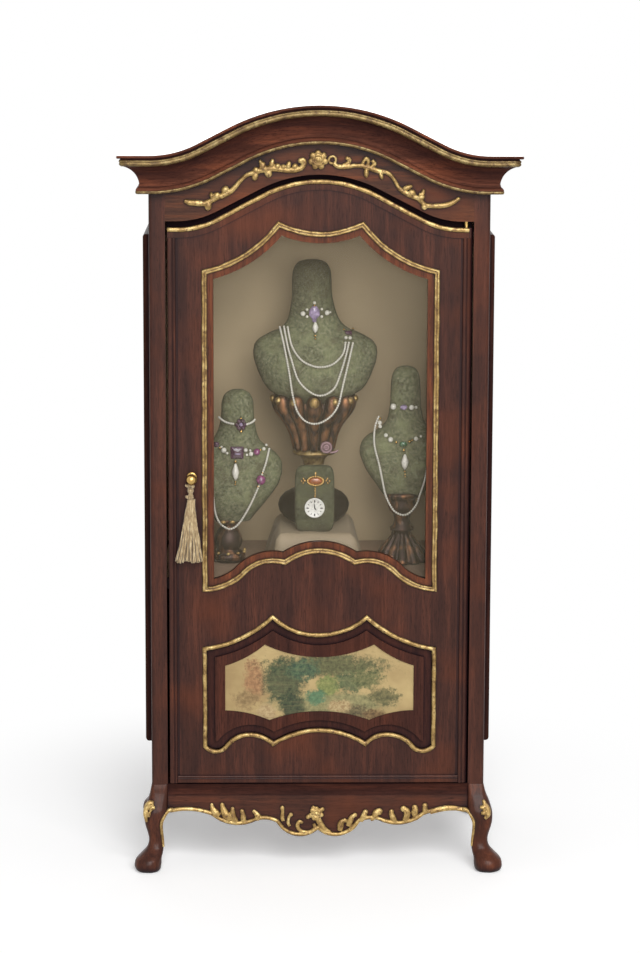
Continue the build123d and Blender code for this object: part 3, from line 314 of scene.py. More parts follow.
class Finish:
    """One node material: nodes are added by type, with their inputs by name."""

    def __init__(self, name):
        self.material = bpy.data.materials.new(name)
        self.material.use_nodes = True
        self.tree = self.material.node_tree
        self.shader = self.tree.nodes["Principled BSDF"]
        self.place = self.add("ShaderNodeTexCoord").outputs["Object"]

    def put(self, socket, value):
        """Links a socket to another one or sets its own value."""
        if isinstance(value, bpy.types.NodeSocket):
            self.tree.links.new(value, socket)
        else:
            socket.default_value = value

    def add(self, kind, inputs=None, **settings):
        """A new node with its inputs linked or set, and its settings."""
        node = self.tree.nodes.new(kind)
        for key, value in settings.items():
            setattr(node, key, value)
        for key, value in (inputs or {}).items():
            self.put(node.inputs[key], value)
        return node

    def surface(self, **inputs):
        """Sets or links the shader's own inputs, and gives the finished material."""
        for key, value in inputs.items():
            self.put(self.shader.inputs[key.replace("_", " ")], value)
        return self.material

    def stretched(self, scale):
        """Object coordinates in millimetres, scaled along each axis."""
        return self.add("ShaderNodeMapping", {"Vector": self.place,
                                              "Scale": tuple(s / MM for s in scale)}).outputs[0]

    def clouds(self, where, scale, detail=4.0, rough=0.55, twist=0.0):
        """Noise from 0 to 1; scale is in features per unit of the given coordinates."""
        return self.add("ShaderNodeTexNoise",
                        {"Vector": where, "Scale": scale, "Detail": detail, "Roughness": rough,
                         "Distortion": twist}).outputs["Fac"]

    def ramp(self, value, *stops):
        """Colours or greys at positions along a value."""
        node = self.add("ShaderNodeValToRGB", {"Fac": value})
        band = node.color_ramp.elements
        while len(band) < len(stops):
            band.new(0.5)
        for element, (position, colour) in zip(band, stops):
            element.position = position
            grey = (colour, colour, colour, 1.0)
            element.color = colour if isinstance(colour, tuple) else grey
        return node.outputs["Color"]

    def blend(self, factor, one, two, kind="MIX"):
        """Colour one where the factor is 0, and colour two where it is 1."""
        node = self.add("ShaderNodeMix", data_type="RGBA", blend_type=kind)
        self.put(node.inputs["Factor"], factor)
        self.put(node.inputs[6], one)
        self.put(node.inputs[7], two)
        return node.outputs[2]

    def maths(self, kind, one, two=0.0):
        """One step of arithmetic with two values."""
        return self.add("ShaderNodeMath", {0: one, 1: two}, operation=kind).outputs[0]

    def bump(self, height, depth, strength=1.0):
        """A normal from a height map whose full range is that many millimetres."""
        return self.add("ShaderNodeBump", {"Height": height, "Distance": depth * MM,
                                           "Strength": strength}).outputs["Normal"]

    def nook(self, reach):
        """1 on open surfaces, falling to 0 in corners that are closed within that distance."""
        return self.add("ShaderNodeAmbientOcclusion", {"Distance": reach * MM},
                        samples=6).outputs["AO"]

    def facing_up(self, low=-1.0, high=1.0):
        """0 to 1 as a face's upward tilt goes from low to high: -1 looks down, 1 looks up."""
        normal = self.add("ShaderNodeNewGeometry").outputs["Normal"]
        up = self.add("ShaderNodeSeparateXYZ", {"Vector": normal}).outputs["Z"]
        return self.add("ShaderNodeMapRange", {"Value": up, "From Min": low,
                                               "From Max": high}).outputs[0]

    def facing(self, way):
        """1 where a face looks the given way, and 0 where it is side-on to it."""
        normal = self.add("ShaderNodeNewGeometry").outputs["Normal"]
        return self.add("ShaderNodeVectorMath", {0: normal, 1: way},
                        operation="DOT_PRODUCT").outputs["Value"]

    def axis(self, name, low, high):
        """0 to 1 between two places in millimetres along one axis of the part."""
        split = self.add("ShaderNodeSeparateXYZ", {"Vector": self.place})
        return self.add("ShaderNodeMapRange",
                        {"Value": split.outputs[name], "From Min": low * MM,
                         "From Max": high * MM}).outputs[0]


PORE = tint(30, 17, 13)
EMBER = tint(108, 54, 28)
# the dark purple-brown of the wood's painted shade
PAINTED_SHADE = tint(26, 16, 21)


def wood(name, grain, dark, mid, light, ember=0.35, gloss=0.12, polished_top=False, shade_below=0.0):
    """Stained and varnished mahogany, with painted shade in its corners. grain scales the
    pattern along each axis; ember is how much orange shows in patches; the last argument is
    how dark the painted shade lies below overhangs, on faces that look down."""
    f = Finish(name)
    along = f.stretched(grain)
    bands = f.clouds(along, 0.42, 3.0, 0.6, 0.6)
    streaks = f.clouds(along, 2.1, 5.0, 0.65)
    pores = f.clouds(along, 6.0, 2.0, 0.7)
    patch = f.clouds(f.stretched((1, 1, 1)), 0.06, 3.0, 0.5)
    colour = f.ramp(bands, (0.3, dark), (0.5, mid), (0.72, light))
    colour = f.blend(f.ramp(streaks, (0.36, 0.65), (0.56, 0.0)), colour, dark)
    colour = f.blend(f.ramp(pores, (0.34, 0.6), (0.46, 0.0)), colour, PORE)
    colour = f.blend(f.ramp(patch, (0.5, 0.0), (0.75, ember)), colour, EMBER)
    # painted shade: the colour turns dark purple-brown in corners and hollows
    corner_shading = f.nook(2.4)
    colour = f.blend(f.ramp(corner_shading, (0.4, 0.95), (0.72, 0.5), (0.96, 0.0)), colour, PAINTED_SHADE)
    # painted shade: faces that look down, below overhangs, turn darker
    if shade_below:
        colour = f.blend(f.ramp(f.facing_up(), (0.22, shade_below), (0.5, 0.0)), colour, PAINTED_SHADE)
    rough = f.add("ShaderNodeMapRange", {"Value": streaks, "To Min": 0.3,
                                         "To Max": 0.5}).outputs[0]
    height = f.maths("ADD", f.maths("MULTIPLY", pores, 0.6), streaks)
    f.surface(Base_Color=colour, Roughness=rough, Normal=f.bump(height, 0.05, 0.5),
              Specular_IOR_Level=0.01 + 0.6 * gloss, Coat_Weight=gloss, Coat_Roughness=0.15)
    if polished_top:
        open_top = f.maths("MULTIPLY", f.facing_up(0.6, 0.85),
                           f.ramp(f.nook(9.0), (0.86, 0.0), (0.96, 1.0)))
        f.surface(Coat_Weight=open_top, Coat_Roughness=0.05, Coat_IOR=2.0)
    return f.material


# scales of the grain's pattern along each axis: the small one draws it out along the board
UPRIGHT = (1.0, 1.0, 0.07)
SIDEWAYS = (0.07, 1.0, 1.0)
DEEPWAYS = (1.0, 0.07, 1.0)
# the dark, middle and light browns of the stain for each part, from the darkest, on the sides,
# to the lightest, on the slip
SIDES = (tint(40, 23, 20), tint(54, 32, 26), tint(70, 40, 31))
UPRIGHTS = (tint(49, 28, 23), tint(65, 37, 29), tint(83, 47, 35))
BOARDS = (tint(52, 30, 24), tint(69, 40, 30), tint(88, 50, 36))
CORNICE = (tint(66, 39, 30), tint(95, 56, 42), tint(123, 70, 48))
FRIEZE = (tint(51, 28, 21), tint(74, 45, 31), tint(106, 58, 34))
RAIL = (tint(40, 24, 22), tint(56, 33, 28), tint(74, 42, 33))
FIELD = (tint(50, 29, 25), tint(66, 38, 31), tint(80, 45, 35))
SLIP = (tint(66, 36, 24), tint(98, 54, 34), tint(124, 68, 40))
LEGS = (tint(50, 27, 20), tint(74, 41, 30), tint(100, 56, 38))
wood_upright = wood("mahogany_upright", UPRIGHT, *UPRIGHTS)
wood_sideways = wood("mahogany_sideways", SIDEWAYS, *BOARDS)
wood_deepways = wood("mahogany_deepways", DEEPWAYS, *SIDES, ember=0.15, gloss=0.0)
wood_cornice = wood("mahogany_cornice", SIDEWAYS, *CORNICE, ember=0.25, gloss=0.0,
                    polished_top=True, shade_below=0.6)
wood_frieze = wood("mahogany_frieze", SIDEWAYS, *FRIEZE, ember=0.55)
wood_side = wood("mahogany_side", UPRIGHT, *SIDES, ember=0.15, gloss=0.0)
wood_rail = wood("mahogany_rail", SIDEWAYS, *RAIL, ember=0.1, gloss=0.0)
wood_panel = wood("mahogany_panel", UPRIGHT, *FIELD, ember=0.15, gloss=0.05)
wood_slip = wood("mahogany_slip", UPRIGHT, *SLIP, ember=0.3)
wood_leg = wood("mahogany_leg", UPRIGHT, *LEGS)


def gilding(name, deep=None, tone=1.0):
    """Gold paint rubbed over a dark ground. deep gives the y where the relief starts and where it
    is clean: its hollows between them and its corners get painted shade. tone darkens the gold."""
    f = Finish(name)
    place = f.stretched((1, 1, 1))
    fine = f.clouds(place, 2.4, 4.0, 0.65)
    patch = f.clouds(place, 0.55, 3.0, 0.6)
    specks = f.clouds(place, 1.15, 2.0, 0.6)
    gold = f.ramp(patch, *((at, shaded(colour, tone)) for at, colour in (
        (0.3, tint(120, 92, 50)), (0.5, tint(166, 136, 80)), (0.7, tint(208, 182, 122)))))
    gold = f.blend(f.ramp(specks, (0.34, 0.85), (0.45, 0.0)), gold, shaded(tint(104, 74, 42), tone))
    wear_and_shade = f.ramp(fine, (0.3, 0.9), (0.42, 0.0))
    # real rubbed wear from noise, plus painted shade in the corners in the ground's dark colour
    wear_and_shade = f.blend(1.0, wear_and_shade, f.ramp(f.nook(0.8), (0.3, 0.95), (0.8, 0.0)), "LIGHTEN")
    # painted shade: the relief turns darker the deeper it lies
    if deep:
        hollow = f.ramp(f.axis("Y", *deep), (0.0, 1.0), (0.5, 0.3), (1.0, 0.0))
        wear_and_shade = f.blend(1.0, wear_and_shade, hollow, "LIGHTEN")
    colour = f.blend(wear_and_shade, gold, tint(60, 36, 20))
    metal = f.ramp(wear_and_shade, (0.0, 0.55), (0.8, 0.1))
    rough = f.ramp(fine, (0.3, 0.5), (0.7, 0.3))
    return f.surface(Base_Color=colour, Metallic=metal, Roughness=rough,
                     Normal=f.bump(fine, 0.12, 0.6))


gilt = gilding("gilt")
gilt_cornice = gilding("gilt_cornice", tone=0.45)


def plain(name, colour, rough=0.5, metal=0.0, grain=3.0, depth=0.03, shine=0.5):
    """A finish with a little grain, for the small parts."""
    f = Finish(name)
    fine = f.clouds(f.stretched((1, 1, 1)), grain, 4.0, 0.6)
    return f.surface(Base_Color=f.ramp(fine, (0.3, shaded(colour, 0.7)), (0.65, colour)),
                     Metallic=metal, Roughness=rough, Specular_IOR_Level=shine,
                     Normal=f.bump(fine, depth))


brass = plain("brass", tint(200, 165, 100), 0.25, 1.0)
ebonised = plain("ebonised", tint(20, 15, 14), 0.5, shine=0.08)
pearl = plain("pearl", tint(222, 218, 206), 0.25)
enamel = plain("enamel", tint(232, 230, 222), 0.25)
old_rose = plain("old_rose", tint(146, 116, 122), 0.4, 0.2)


def dusty_glass():
    """A clear pane with a thin veil of dust and polish."""
    f = Finish("glass")
    veil = f.clouds(f.stretched((1, 1, 0.5)), 0.08, 3.0, 0.5)
    alpha = f.add("ShaderNodeMapRange", {"Value": veil, "To Min": 0.035, "To Max": 0.07}).outputs[0]
    return f.surface(Base_Color=tint(168, 156, 132), Alpha=alpha, Roughness=0.05,
                     Specular_IOR_Level=0.2)


SKY = tint(174, 152, 106)
HAZE = tint(146, 123, 84)
# masses of foliage and ground: x, z, half width, half height, raggedness, dark and light colours
LANDSCAPE = [
    (0.0, 35.0, 30.0, 3.4, 0.5, tint(146, 122, 84), tint(182, 158, 112)),
    (3.0, 41.0, 17.0, 3.4, 0.5, tint(124, 124, 86), tint(162, 154, 108)),
    (-15.4, 46.5, 2.8, 6.5, 1.0, tint(142, 100, 70), tint(186, 142, 100)),
    (-17.0, 42.0, 3.8, 2.6, 1.0, tint(128, 104, 70), tint(172, 144, 100)),
    (2.0, 50.2, 17.0, 3.4, 0.9, tint(64, 70, 48), tint(112, 114, 76)),
    (-8.2, 46.5, 6.0, 6.6, 0.8, tint(54, 64, 48), tint(92, 102, 70)),
    (-6.2, 40.0, 3.6, 5.0, 0.8, tint(44, 52, 42), tint(80, 90, 62)),
    (-3.6, 49.4, 4.6, 3.0, 1.0, tint(52, 74, 62), tint(98, 118, 84)),
    (2.6, 45.4, 3.8, 3.0, 1.0, tint(104, 118, 68), tint(148, 154, 92)),
    (7.6, 46.2, 4.0, 3.0, 1.1, tint(70, 84, 60), tint(116, 124, 84)),
    (-0.6, 42.6, 2.9, 2.3, 1.0, tint(74, 108, 80), tint(104, 140, 104)),
    (11.6, 47.0, 4.4, 2.8, 1.1, tint(76, 84, 54), tint(130, 130, 86)),
    (15.8, 42.6, 4.2, 2.6, 1.2, tint(76, 78, 54), tint(130, 122, 82)),
    (9.0, 38.6, 4.6, 2.4, 1.0, tint(66, 60, 48), tint(126, 112, 78)),
    (13.4, 38.0, 3.4, 1.8, 1.0, tint(84, 64, 44), tint(140, 112, 76)),
    (5.2, 40.2, 3.4, 2.0, 0.8, tint(160, 128, 88), tint(206, 184, 136)),
    (-12.4, 38.6, 2.8, 2.6, 0.7, tint(164, 136, 98), tint(204, 180, 134))]


def landscape():
    """A printed landscape: a pale sky with trees, bushes and a meadow, aged and soft."""
    f = Finish("landscape")
    flat = f.stretched((1, 0, 1))
    cloud = f.clouds(flat, 0.12, 3.0, 0.5)
    colour = f.ramp(cloud, (0.35, HAZE), (0.65, SKY))
    leaf = f.clouds(flat, 0.5, 5.0, 0.7)
    spray = f.clouds(flat, 1.5, 4.0, 0.7, 0.4)
    fine = f.clouds(flat, 1.1, 4.0, 0.7)
    fray = f.maths("ADD", f.maths("SUBTRACT", leaf, 0.5),
                   f.maths("MULTIPLY", f.maths("SUBTRACT", spray, 0.5), 0.6))
    for x, z, half_x, half_z, ragged, dark, light in LANDSCAPE:
        spot = f.add("ShaderNodeMapping", {
            "Vector": f.place, "Location": (-x / half_x, 0, -z / half_z),
            "Scale": (1 / half_x / MM, 0, 1 / half_z / MM)}).outputs[0]
        away = f.add("ShaderNodeVectorMath", {0: spot}, operation="LENGTH").outputs["Value"]
        edge = f.maths("ADD", away, f.maths("MULTIPLY", fray, ragged * 1.7))
        mask = f.ramp(edge, (0.62, 0.92), (1.22, 0.0))
        leaves = f.ramp(fine, (0.36, shaded(dark, 0.66)), (0.66, shaded(light, 0.74)))
        colour = f.blend(mask, colour, leaves)
    paper = f.clouds(f.stretched((0.12, 0, 1.6)), 1.2, 2.0, 0.5)
    colour = f.blend(f.ramp(paper, (0.5, 0.0), (0.75, 0.12)), colour, SKY)
    return f.surface(Base_Color=colour, Roughness=0.45, Specular_IOR_Level=0.2, Coat_Weight=0.05,
                     Normal=f.bump(fine, 0.02))


NODE_FINISHES = {
    "glass_pane": dusty_glass(), "picture": landscape(), "hinge_pins": brass,
    "apron_front": wood_sideways, "shelf_board": wood_sideways, "top_board": wood_sideways,
    "bottom_board": wood_sideways, "apron_left": wood_deepways, "apron_right": wood_deepways,
    "cornice_front": wood_cornice, "cornice_left": wood_cornice, "cornice_right": wood_cornice,
    "roof_board": wood_cornice, "frieze_board": wood_frieze, "side_panel_left": wood_side,
    "side_panel_right": wood_side, "side_left": wood_side, "side_right": wood_side,
    "bottom_rail": wood_rail, "panel_field": wood_panel, "window_slip": wood_slip}
for name, node in NODES.items():
    node.data.materials.clear()
    node.data.materials.append(NODE_FINISHES.get(name, wood_upright))

# ---------------------------------------------------------------- gilt mouldings
# three-point arcs of the left half of each opening: first its top, then its foot
WINDOW = ([((-28, 145.8), (-18.9, 149.2), (-10, 157.3)), ((-10, 157.3), (0, 154.8), (10, 157.3))],
          [((-28, 68.5), (-23.1, 69.3), (-18.3, 72.1)), ((-18.3, 72.1), (-13, 75.3), (-8.2, 75)),
           ((-8.2, 75), (0, 77.9), (8.2, 75))])
PANEL = ([((-28, 55), (-19.5, 57.4), (-11.3, 63)), ((-11.3, 63), (0, 58.4), (11.3, 63))],
         [((-28, 30.3), (-25.2, 28.7), (-21.6, 30.5)), ((-21.6, 30.5), (-16.7, 32.8), (-11.2, 30.3)),
          ((-11.2, 30.3), (0, 33.9), (11.2, 30.3))])
# sections: how far inside the outline, and how far behind the door's face
DOUBLE_BEAD = [(0.0, 0.5), (0.04, -0.12), (0.2, -0.36), (0.42, -0.42), (0.58, -0.28), (0.68, -0.12),
               (0.78, -0.26), (0.94, -0.38), (1.14, -0.3), (1.26, -0.1), (1.3, 0.6)]
ROUND_BEAD = [(0.0, 0.5), (0.05, -0.16), (0.25, -0.4), (0.55, -0.48), (0.85, -0.4), (1.05, -0.14),
              (1.1, 0.5)]
TOP_BEAD = [(0.0, 0.6), (0.0, -0.16), (0.2, -0.36), (0.55, -0.4), (0.9, -0.34), (1.08, -0.12),
            (1.1, 0.5)]
TOP_TRIM = (-35.65, 35.05)    # the x where the gilt on the door's top starts and ends
gilt_bead_finish = gilding("gilt_bead", (FIELD_Y - 0.05, FIELD_Y - 0.4), 0.9)


def gilt_bead(name, shape, section, seed, replaces):
    """The gilt bead round an opening of the door."""
    clay = Clay()
    clay.moulding(outline(*shape), [(d, FIELD_Y + y) for d, y in section], wobble=0.12, seed=seed)
    piece(name, clay, gilt_bead_finish, "door", replaces=[replaces])


gilt_bead("window_bead", WINDOW, DOUBLE_BEAD, 3.1, "window_gilt")
gilt_bead("panel_bead", PANEL, ROUND_BEAD, 8.7, "panel_gilt")


def door_top_strip():
    """The gilt along the door's hooped top."""
    clay = Clay()
    left, right = TOP_TRIM
    level = DOOR_HOOP[1]
    path = [p for p in hoop(HALF, *DOOR_HOOP) if left + 0.1 < p[0] < right - 0.1]
    path = [(left, level)] + path + [(right, level)]
    clay.moulding(path, [(d, FIELD_Y + y) for d, y in TOP_BEAD], closed=False, wobble=0.1, seed=5.5)
    piece("door_top_strip", clay, gilt_bead_finish, "door", replaces=["door_top_gilt"])


door_top_strip()


# sections of the cornice's gilding: how far outward and upward from its lower edge
CORNICE_BAND = [(5.5, 6.6), (5.9, 6.66), (6.3, 6.95), (6.43, 7.25), (6.3, 7.5), (6.32, 7.62),
                (6.46, 7.82), (6.4, 8.08), (6.0, 8.16)]
CORNICE_THREAD = [(2.2, -0.05), (2.7, 0.06), (2.86, 0.4), (2.84, 0.7), (2.2, 0.75)]
SIDE_STEP = 4             # distance between its points along the case's sides


def cornice_line(out, up):
    """A line along the cornice's front and round its corners, at an offset from its lower edge."""
    crown, end, reach, radius, hollow = CORNICE_HOOP
    line = hoop(HALF + out, crown + up, end + up, reach, radius + up, hollow - up)
    front = [(x, FRONT - out, z) for x, z in line]
    left = [(-HALF - out, BACK - t, end + up) for t in range(0, round(BACK - FRONT), SIDE_STEP)]
    right = [(-x, y, z) for x, y, z in reversed(left)]
    return left + front + right


def cornice_strip(name, section, wobble, seed, replaces=()):
    """A gilt strip along the cornice, a little uneven in height."""
    lines = [cornice_line(out, up) for out, up in section]
    rings = []
    for spots in zip(*lines):
        x, y, z = spots[0]
        sway = wobble * ripple(x * 0.21 + seed, z * 0.2, y * 0.2)
        rings.append([(px, py, pz + sway * (0.4 if i % 2 else 1.0))
                      for i, (px, py, pz) in enumerate(spots)])
    clay = Clay()
    clay.skin(rings)
    piece(name, clay, gilt_cornice, "case", replaces=replaces)


cornice_strip("cornice_band", CORNICE_BAND, 0.1, 1.7, ["cornice_gilt"])
cornice_strip("cornice_thread", CORNICE_THREAD, 0.06, 4.2)

# ---------------------------------------------------------------- frieze carving
RELIEF_Y = FRONT - 0.3    # y of the carving's middle
BLUNT = 0.36              # least radius of a carved leaf's tip
# stems and tendrils: x and z of each point, then the radius at each
FRIEZE_STROKES = [
    # left garland: its stem from the outer tip to the hook by the flower
    ([(-31.6, 162.0), (-30.2, 161.6), (-28.6, 161.5), (-27.0, 161.4), (-25.6, 161.9),
      (-24.2, 162.6), (-22.6, 163.3), (-20.9, 164.2), (-19.6, 165.4), (-18.6, 166.6),
      (-17.2, 167.9), (-15.6, 168.6), (-14.0, 169.1), (-12.4, 169.4), (-10.8, 169.6),
      (-9.2, 169.4), (-7.4, 169.2), (-5.6, 169.3), (-4.3, 169.8), (-3.6, 170.8), (-3.9, 171.6),
      (-4.5, 171.4)],
     [.4, .62, .65, .6, .55, .55, .6, .6, .5, .45, .45, .5, .6, .7, .7, .6, .6, .6, .55, .5, .5,
      .5]),
    # right garland
    ([(3.2, 170.9), (3.9, 170.2), (5.0, 170.0), (6.6, 170.1), (8.2, 170.3), (9.8, 170.2),
      (11.4, 169.8), (12.8, 169.3), (14.0, 169.0), (15.4, 168.8), (16.6, 168.0), (17.6, 166.6),
      (18.4, 165.2), (19.3, 164.4), (20.6, 163.7), (21.9, 163.1), (23.0, 162.6), (23.9, 161.8),
      (24.6, 161.1), (26.2, 160.9), (28.0, 160.9), (29.8, 161.2), (31.2, 161.8), (32.4, 162.6)],
     [.45, .45, .55, .5, .45, .45, .5, .55, .5, .45, .42, .38, .42, .5, .6, .6, .55, .5, .5, .5,
      .55, .55, .5, .36]),
    ([(5.4, 170.3), (6.6, 170.9), (7.0, 171.7), (6.4, 172.0)], [.42, .42, .4, .38]),
    ([(9.9, 170.4), (10.2, 171.3), (10.8, 172.0), (11.3, 171.5), (11.2, 170.6)],
     [.36, .38, .4, .38, .36]),
    ([(12.0, 170.0), (12.8, 170.7), (12.4, 171.3)], [.4, .4, .36]),
    ([(23.2, 163.4), (23.9, 163.7), (24.2, 164.4)], [.5, .45, .36])]
# leaf buds: x, z, half length, half width, lean of the long axis from upright in degrees
FRIEZE_BUDS = [(-26.0, 160.8, 0.95, 0.7, 10), (-25.2, 163.2, 0.75, 0.42, -15),
               (-24.0, 163.2, 0.8, 0.75, 40), (-22.1, 164.6, 0.9, 0.7, 35),
               (-15.1, 167.8, 0.95, 0.65, 10), (-14.9, 169.2, 0.7, 0.6, 0),
               (-13.4, 170.1, 0.95, 0.7, 15), (-13.8, 171.1, 0.6, 0.36, -30),
               (-12.0, 168.5, 0.9, 0.75, -20), (-11.2, 170.6, 1.15, 0.55, 10),
               (-9.9, 170.1, 0.65, 0.65, 0), (-8.5, 170.0, 0.55, 0.5, 0),
               (-7.3, 170.3, 1.0, 0.5, 10), (-5.8, 170.1, 0.65, 0.6, 30),
               (10.8, 168.6, 1.0, 0.5, 0), (14.3, 168.0, 0.85, 0.42, -20),
               (20.4, 165.2, 1.2, 0.5, 70), (21.4, 163.8, 0.9, 0.8, 50),
               (23.6, 162.9, 0.85, 0.65, 60), (24.4, 160.7, 0.7, 0.6, 0)]
FRIEZE_RINGS = [(2.9, 171.6, 0.85, 0.34)]    # x, z, radius and thickness
ROSETTE = (-0.4, 171.6)
ROSETTE_RADIUS = 2.25
gilt_frieze = gilding("gilt_frieze", (FRONT - 0.05, FRONT - 0.6), 0.85)


def strokes(clay, lines, y, flat=0.85, thick=1.0):
    """Carved stems and leaves along lines of x and z, each with a blunt round tip."""
    for line, radii in lines:
        full = [max(BLUNT, r * thick) for r in radii]
        clay.tube([(x, y, z) for x, z in line], full, flat=flat)
        x, z = line[-1]
        clay.ball((x, y, z), (full[-1] * 1.15, full[-1] * flat, full[-1] * 1.15), 10, 8)


def ring(clay, x, y, z, radius, wire, sides=8, steps=18):
    """A ring of round wire that faces the front."""
    clay.skin([[(x + (radius + wire * math.cos(b)) * math.cos(a), y + wire * math.sin(b),
                 z + (radius + wire * math.cos(b)) * math.sin(a)) for b in angles(sides)]
               for a in angles(steps)], loop=True)


def rosette(clay, x, y, z, radius, petals=7):
    """A round rose: broad petals round a rolled ring and a low heart."""
    for a in angles(petals, math.pi / 2):
        clay.ball((x + 0.72 * radius * math.cos(a), y, z + 0.72 * radius * math.sin(a)),
                  (0.34 * radius, 0.2 * radius, 0.34 * radius))
    clay.ball((x, y + 0.05 * radius, z), (0.75 * radius, 0.2 * radius, 0.75 * radius), 20, 8)
    ring(clay, x, y - 0.1 * radius, z, 0.5 * radius, 0.13 * radius, steps=30)
    clay.ball((x, y - 0.05 * radius, z), (0.26 * radius, 0.2 * radius, 0.26 * radius))


def frieze_ornament():
    """The frieze's gilt garland and the rose in its middle."""
    clay = Clay()
    strokes(clay, FRIEZE_STROKES, RELIEF_Y, thick=1.18)
    for x, z, half_length, half_width, lean in FRIEZE_BUDS:
        clay.ball((x, RELIEF_Y - 0.15, z), (half_width * 1.2, 0.6, half_length * 1.15), lean=lean)
    for x, z, radius, wire in FRIEZE_RINGS:
        ring(clay, x, RELIEF_Y, z, radius, wire)
    melt(piece("frieze_garland", clay, gilt_frieze, "case", replaces=["frieze_carving"]),
         voxel=0.11)
    flower = Clay()
    x, z = ROSETTE
    rosette(flower, x, FRONT - 0.35, z, ROSETTE_RADIUS)
    melt(piece("frieze_rose", flower, gilt_frieze, "case", replaces=["frieze_rosette"]),
         voxel=0.1, rounds=2)


STOP_Y = FRONT + 3.25     # just behind the door's back
STOP_HALF = 35.9
STOP_THICK = 0.4
STOP_REACH = (-2.5, 3.2)  # from the door's top edge, downward and upward
ROOF_EDGE = 172.95        # z of the side cornices' top edge
FILLET_WIDTH = 2.2
FILLET_SECTION = [(0.0, -0.02), (FILLET_WIDTH, -0.33), (FILLET_WIDTH, -0.7), (0.0, -0.7)]


def door_stop():
    """The strip behind the frieze that the door closes against."""
    end = DOOR_HOOP[1]
    line = ([(-STOP_HALF, end)] + [p for p in hoop(HALF, *DOOR_HOOP) if abs(p[0]) < STOP_HALF]
            + [(STOP_HALF, end)])
    low, high = STOP_REACH
    back = STOP_Y + STOP_THICK
    clay = Clay()
    clay.skin([[(x, STOP_Y, z + low), (x, back, z + low), (x, back, z + high),
                (x, STOP_Y, z + high)] for x, z in line])
    piece("door_stop", clay, wood_rail, "case", smooth=False)


def roof_fillet(name, side):
    """The sloping fillet that fills the step between the roof board and a side cornice."""
    clay = Clay()
    clay.skin([[(side * (HALF - inset), y, ROOF_EDGE + rise) for inset, rise in FILLET_SECTION]
               for y in (FRONT, BACK)])
    piece(name, clay, wood_cornice, "case", smooth=False)


door_stop()
roof_fillet("roof_fillet_left", -1)
roof_fillet("roof_fillet_right", 1)
frieze_ornament()

# ---------------------------------------------------------------- apron carving
# three-point arcs of the left half of the apron's lower edge
APRON = [((-35.6, 13.9), (-30.5, 14.35), (-25.6, 13.2)), ((-25.6, 13.2), (-19.2, 10.8), (-15, 11.8)),
         ((-15, 11.8), (-12.3, 12.15), (-9.8, 11.3)), ((-9.8, 11.3), (-5, 8), (0, 9.6))]
APRON_Y = FRONT + 0.3     # y of the apron's face
APRON_STROKES = [
    # sprigs that rise from the edge, from root to tip
    ([(-24.4, 13.2), (-25.2, 14.1), (-25.9, 15.1), (-26.1, 16.0)], [.75, .95, .65, .4]),
    ([(-21.6, 12.2), (-22.6, 13.4), (-23.3, 14.8), (-23.6, 16.0)], [.7, 1.05, .8, .5]),
    ([(-20.2, 11.6), (-20.9, 12.8), (-21.1, 14.0), (-21.1, 15.0)], [.65, .85, .7, .45]),
    ([(-18.4, 11.5), (-18.5, 12.6), (-18.6, 13.6), (-18.8, 14.4)], [.6, .75, .6, .5]),
    ([(-15.4, 12.2), (-15.0, 13.0), (-15.4, 13.8), (-15.9, 14.3)], [.65, .8, .65, .45]),
    ([(-8.9, 11.9), (-9.1, 13.0), (-9.0, 14.2), (-9.1, 15.2)], [.5, .55, .45, .5]),
    ([(-7.3, 10.6), (-7.7, 11.6), (-7.5, 12.8), (-7.0, 13.5)], [.45, .45, .4, .5]),
    ([(-1.5, 11.3), (-1.2, 10.0), (-2.6, 9.1), (-4.4, 9.3), (-5.4, 10.5), (-5.0, 11.7), (-4.4, 11.6)],
     [.45, .5, .55, .5, .55, .5, .4]),
    # leaves round the flower and its stem
    ([(-1.3, 14.6), (-1.6, 15.2)], [.6, .5]),
    ([(-2.0, 13.4), (-2.9, 12.9)], [.6, .5]),
    ([(0.0, 14.6), (0.6, 14.8)], [.6, .5]),
    ([(-0.5, 12.6), (0.0, 11.4), (0.9, 10.0), (2.2, 9.2)], [.7, .8, .75, .5]),
    ([(4.8, 9.4), (5.0, 10.6), (5.2, 11.6), (6.0, 12.0)], [.6, .85, .7, .5]),
    ([(6.8, 10.6), (7.3, 11.8), (7.7, 12.8), (8.5, 13.4)], [.6, .8, .65, .5]),
    ([(9.8, 11.8), (10.5, 12.9), (11.0, 14.1)], [.6, .75, .6]),
    ([(12.2, 12.2), (13.1, 12.8), (13.6, 13.9), (14.3, 14.2)], [.6, .7, .9, .8]),
    ([(18.2, 11.7), (17.7, 12.6), (17.3, 13.6), (17.3, 14.2)], [.6, .8, .7, .55]),
    ([(20.4, 11.9), (21.0, 13.0), (21.0, 14.3), (20.2, 14.9)], [.6, .85, .85, .7]),
    ([(23.0, 12.8), (22.9, 13.8), (23.0, 14.8), (22.9, 15.2)], [.6, .85, .8, .65]),
    ([(25.4, 13.9), (25.4, 14.7), (25.4, 15.7)], [.6, .7, .6]),
    ([(26.6, 14.0), (29.2, 14.8), (31.6, 15.1), (34.4, 14.8)], [.6, .75, .75, .5])]
APRON_ROSE = (-0.35, 13.75)
APRON_ROSE_RADIUS = 1.75
EDGE_UP = 0.6             # how far the middle of the gilt edge lies above the board's edge
SPRIGS_RIGHT = 0.5        # the carving sits a little to the right of the board's middle
gilt_apron = gilding("gilt_apron", (APRON_Y - 0.05, APRON_Y - 0.5))


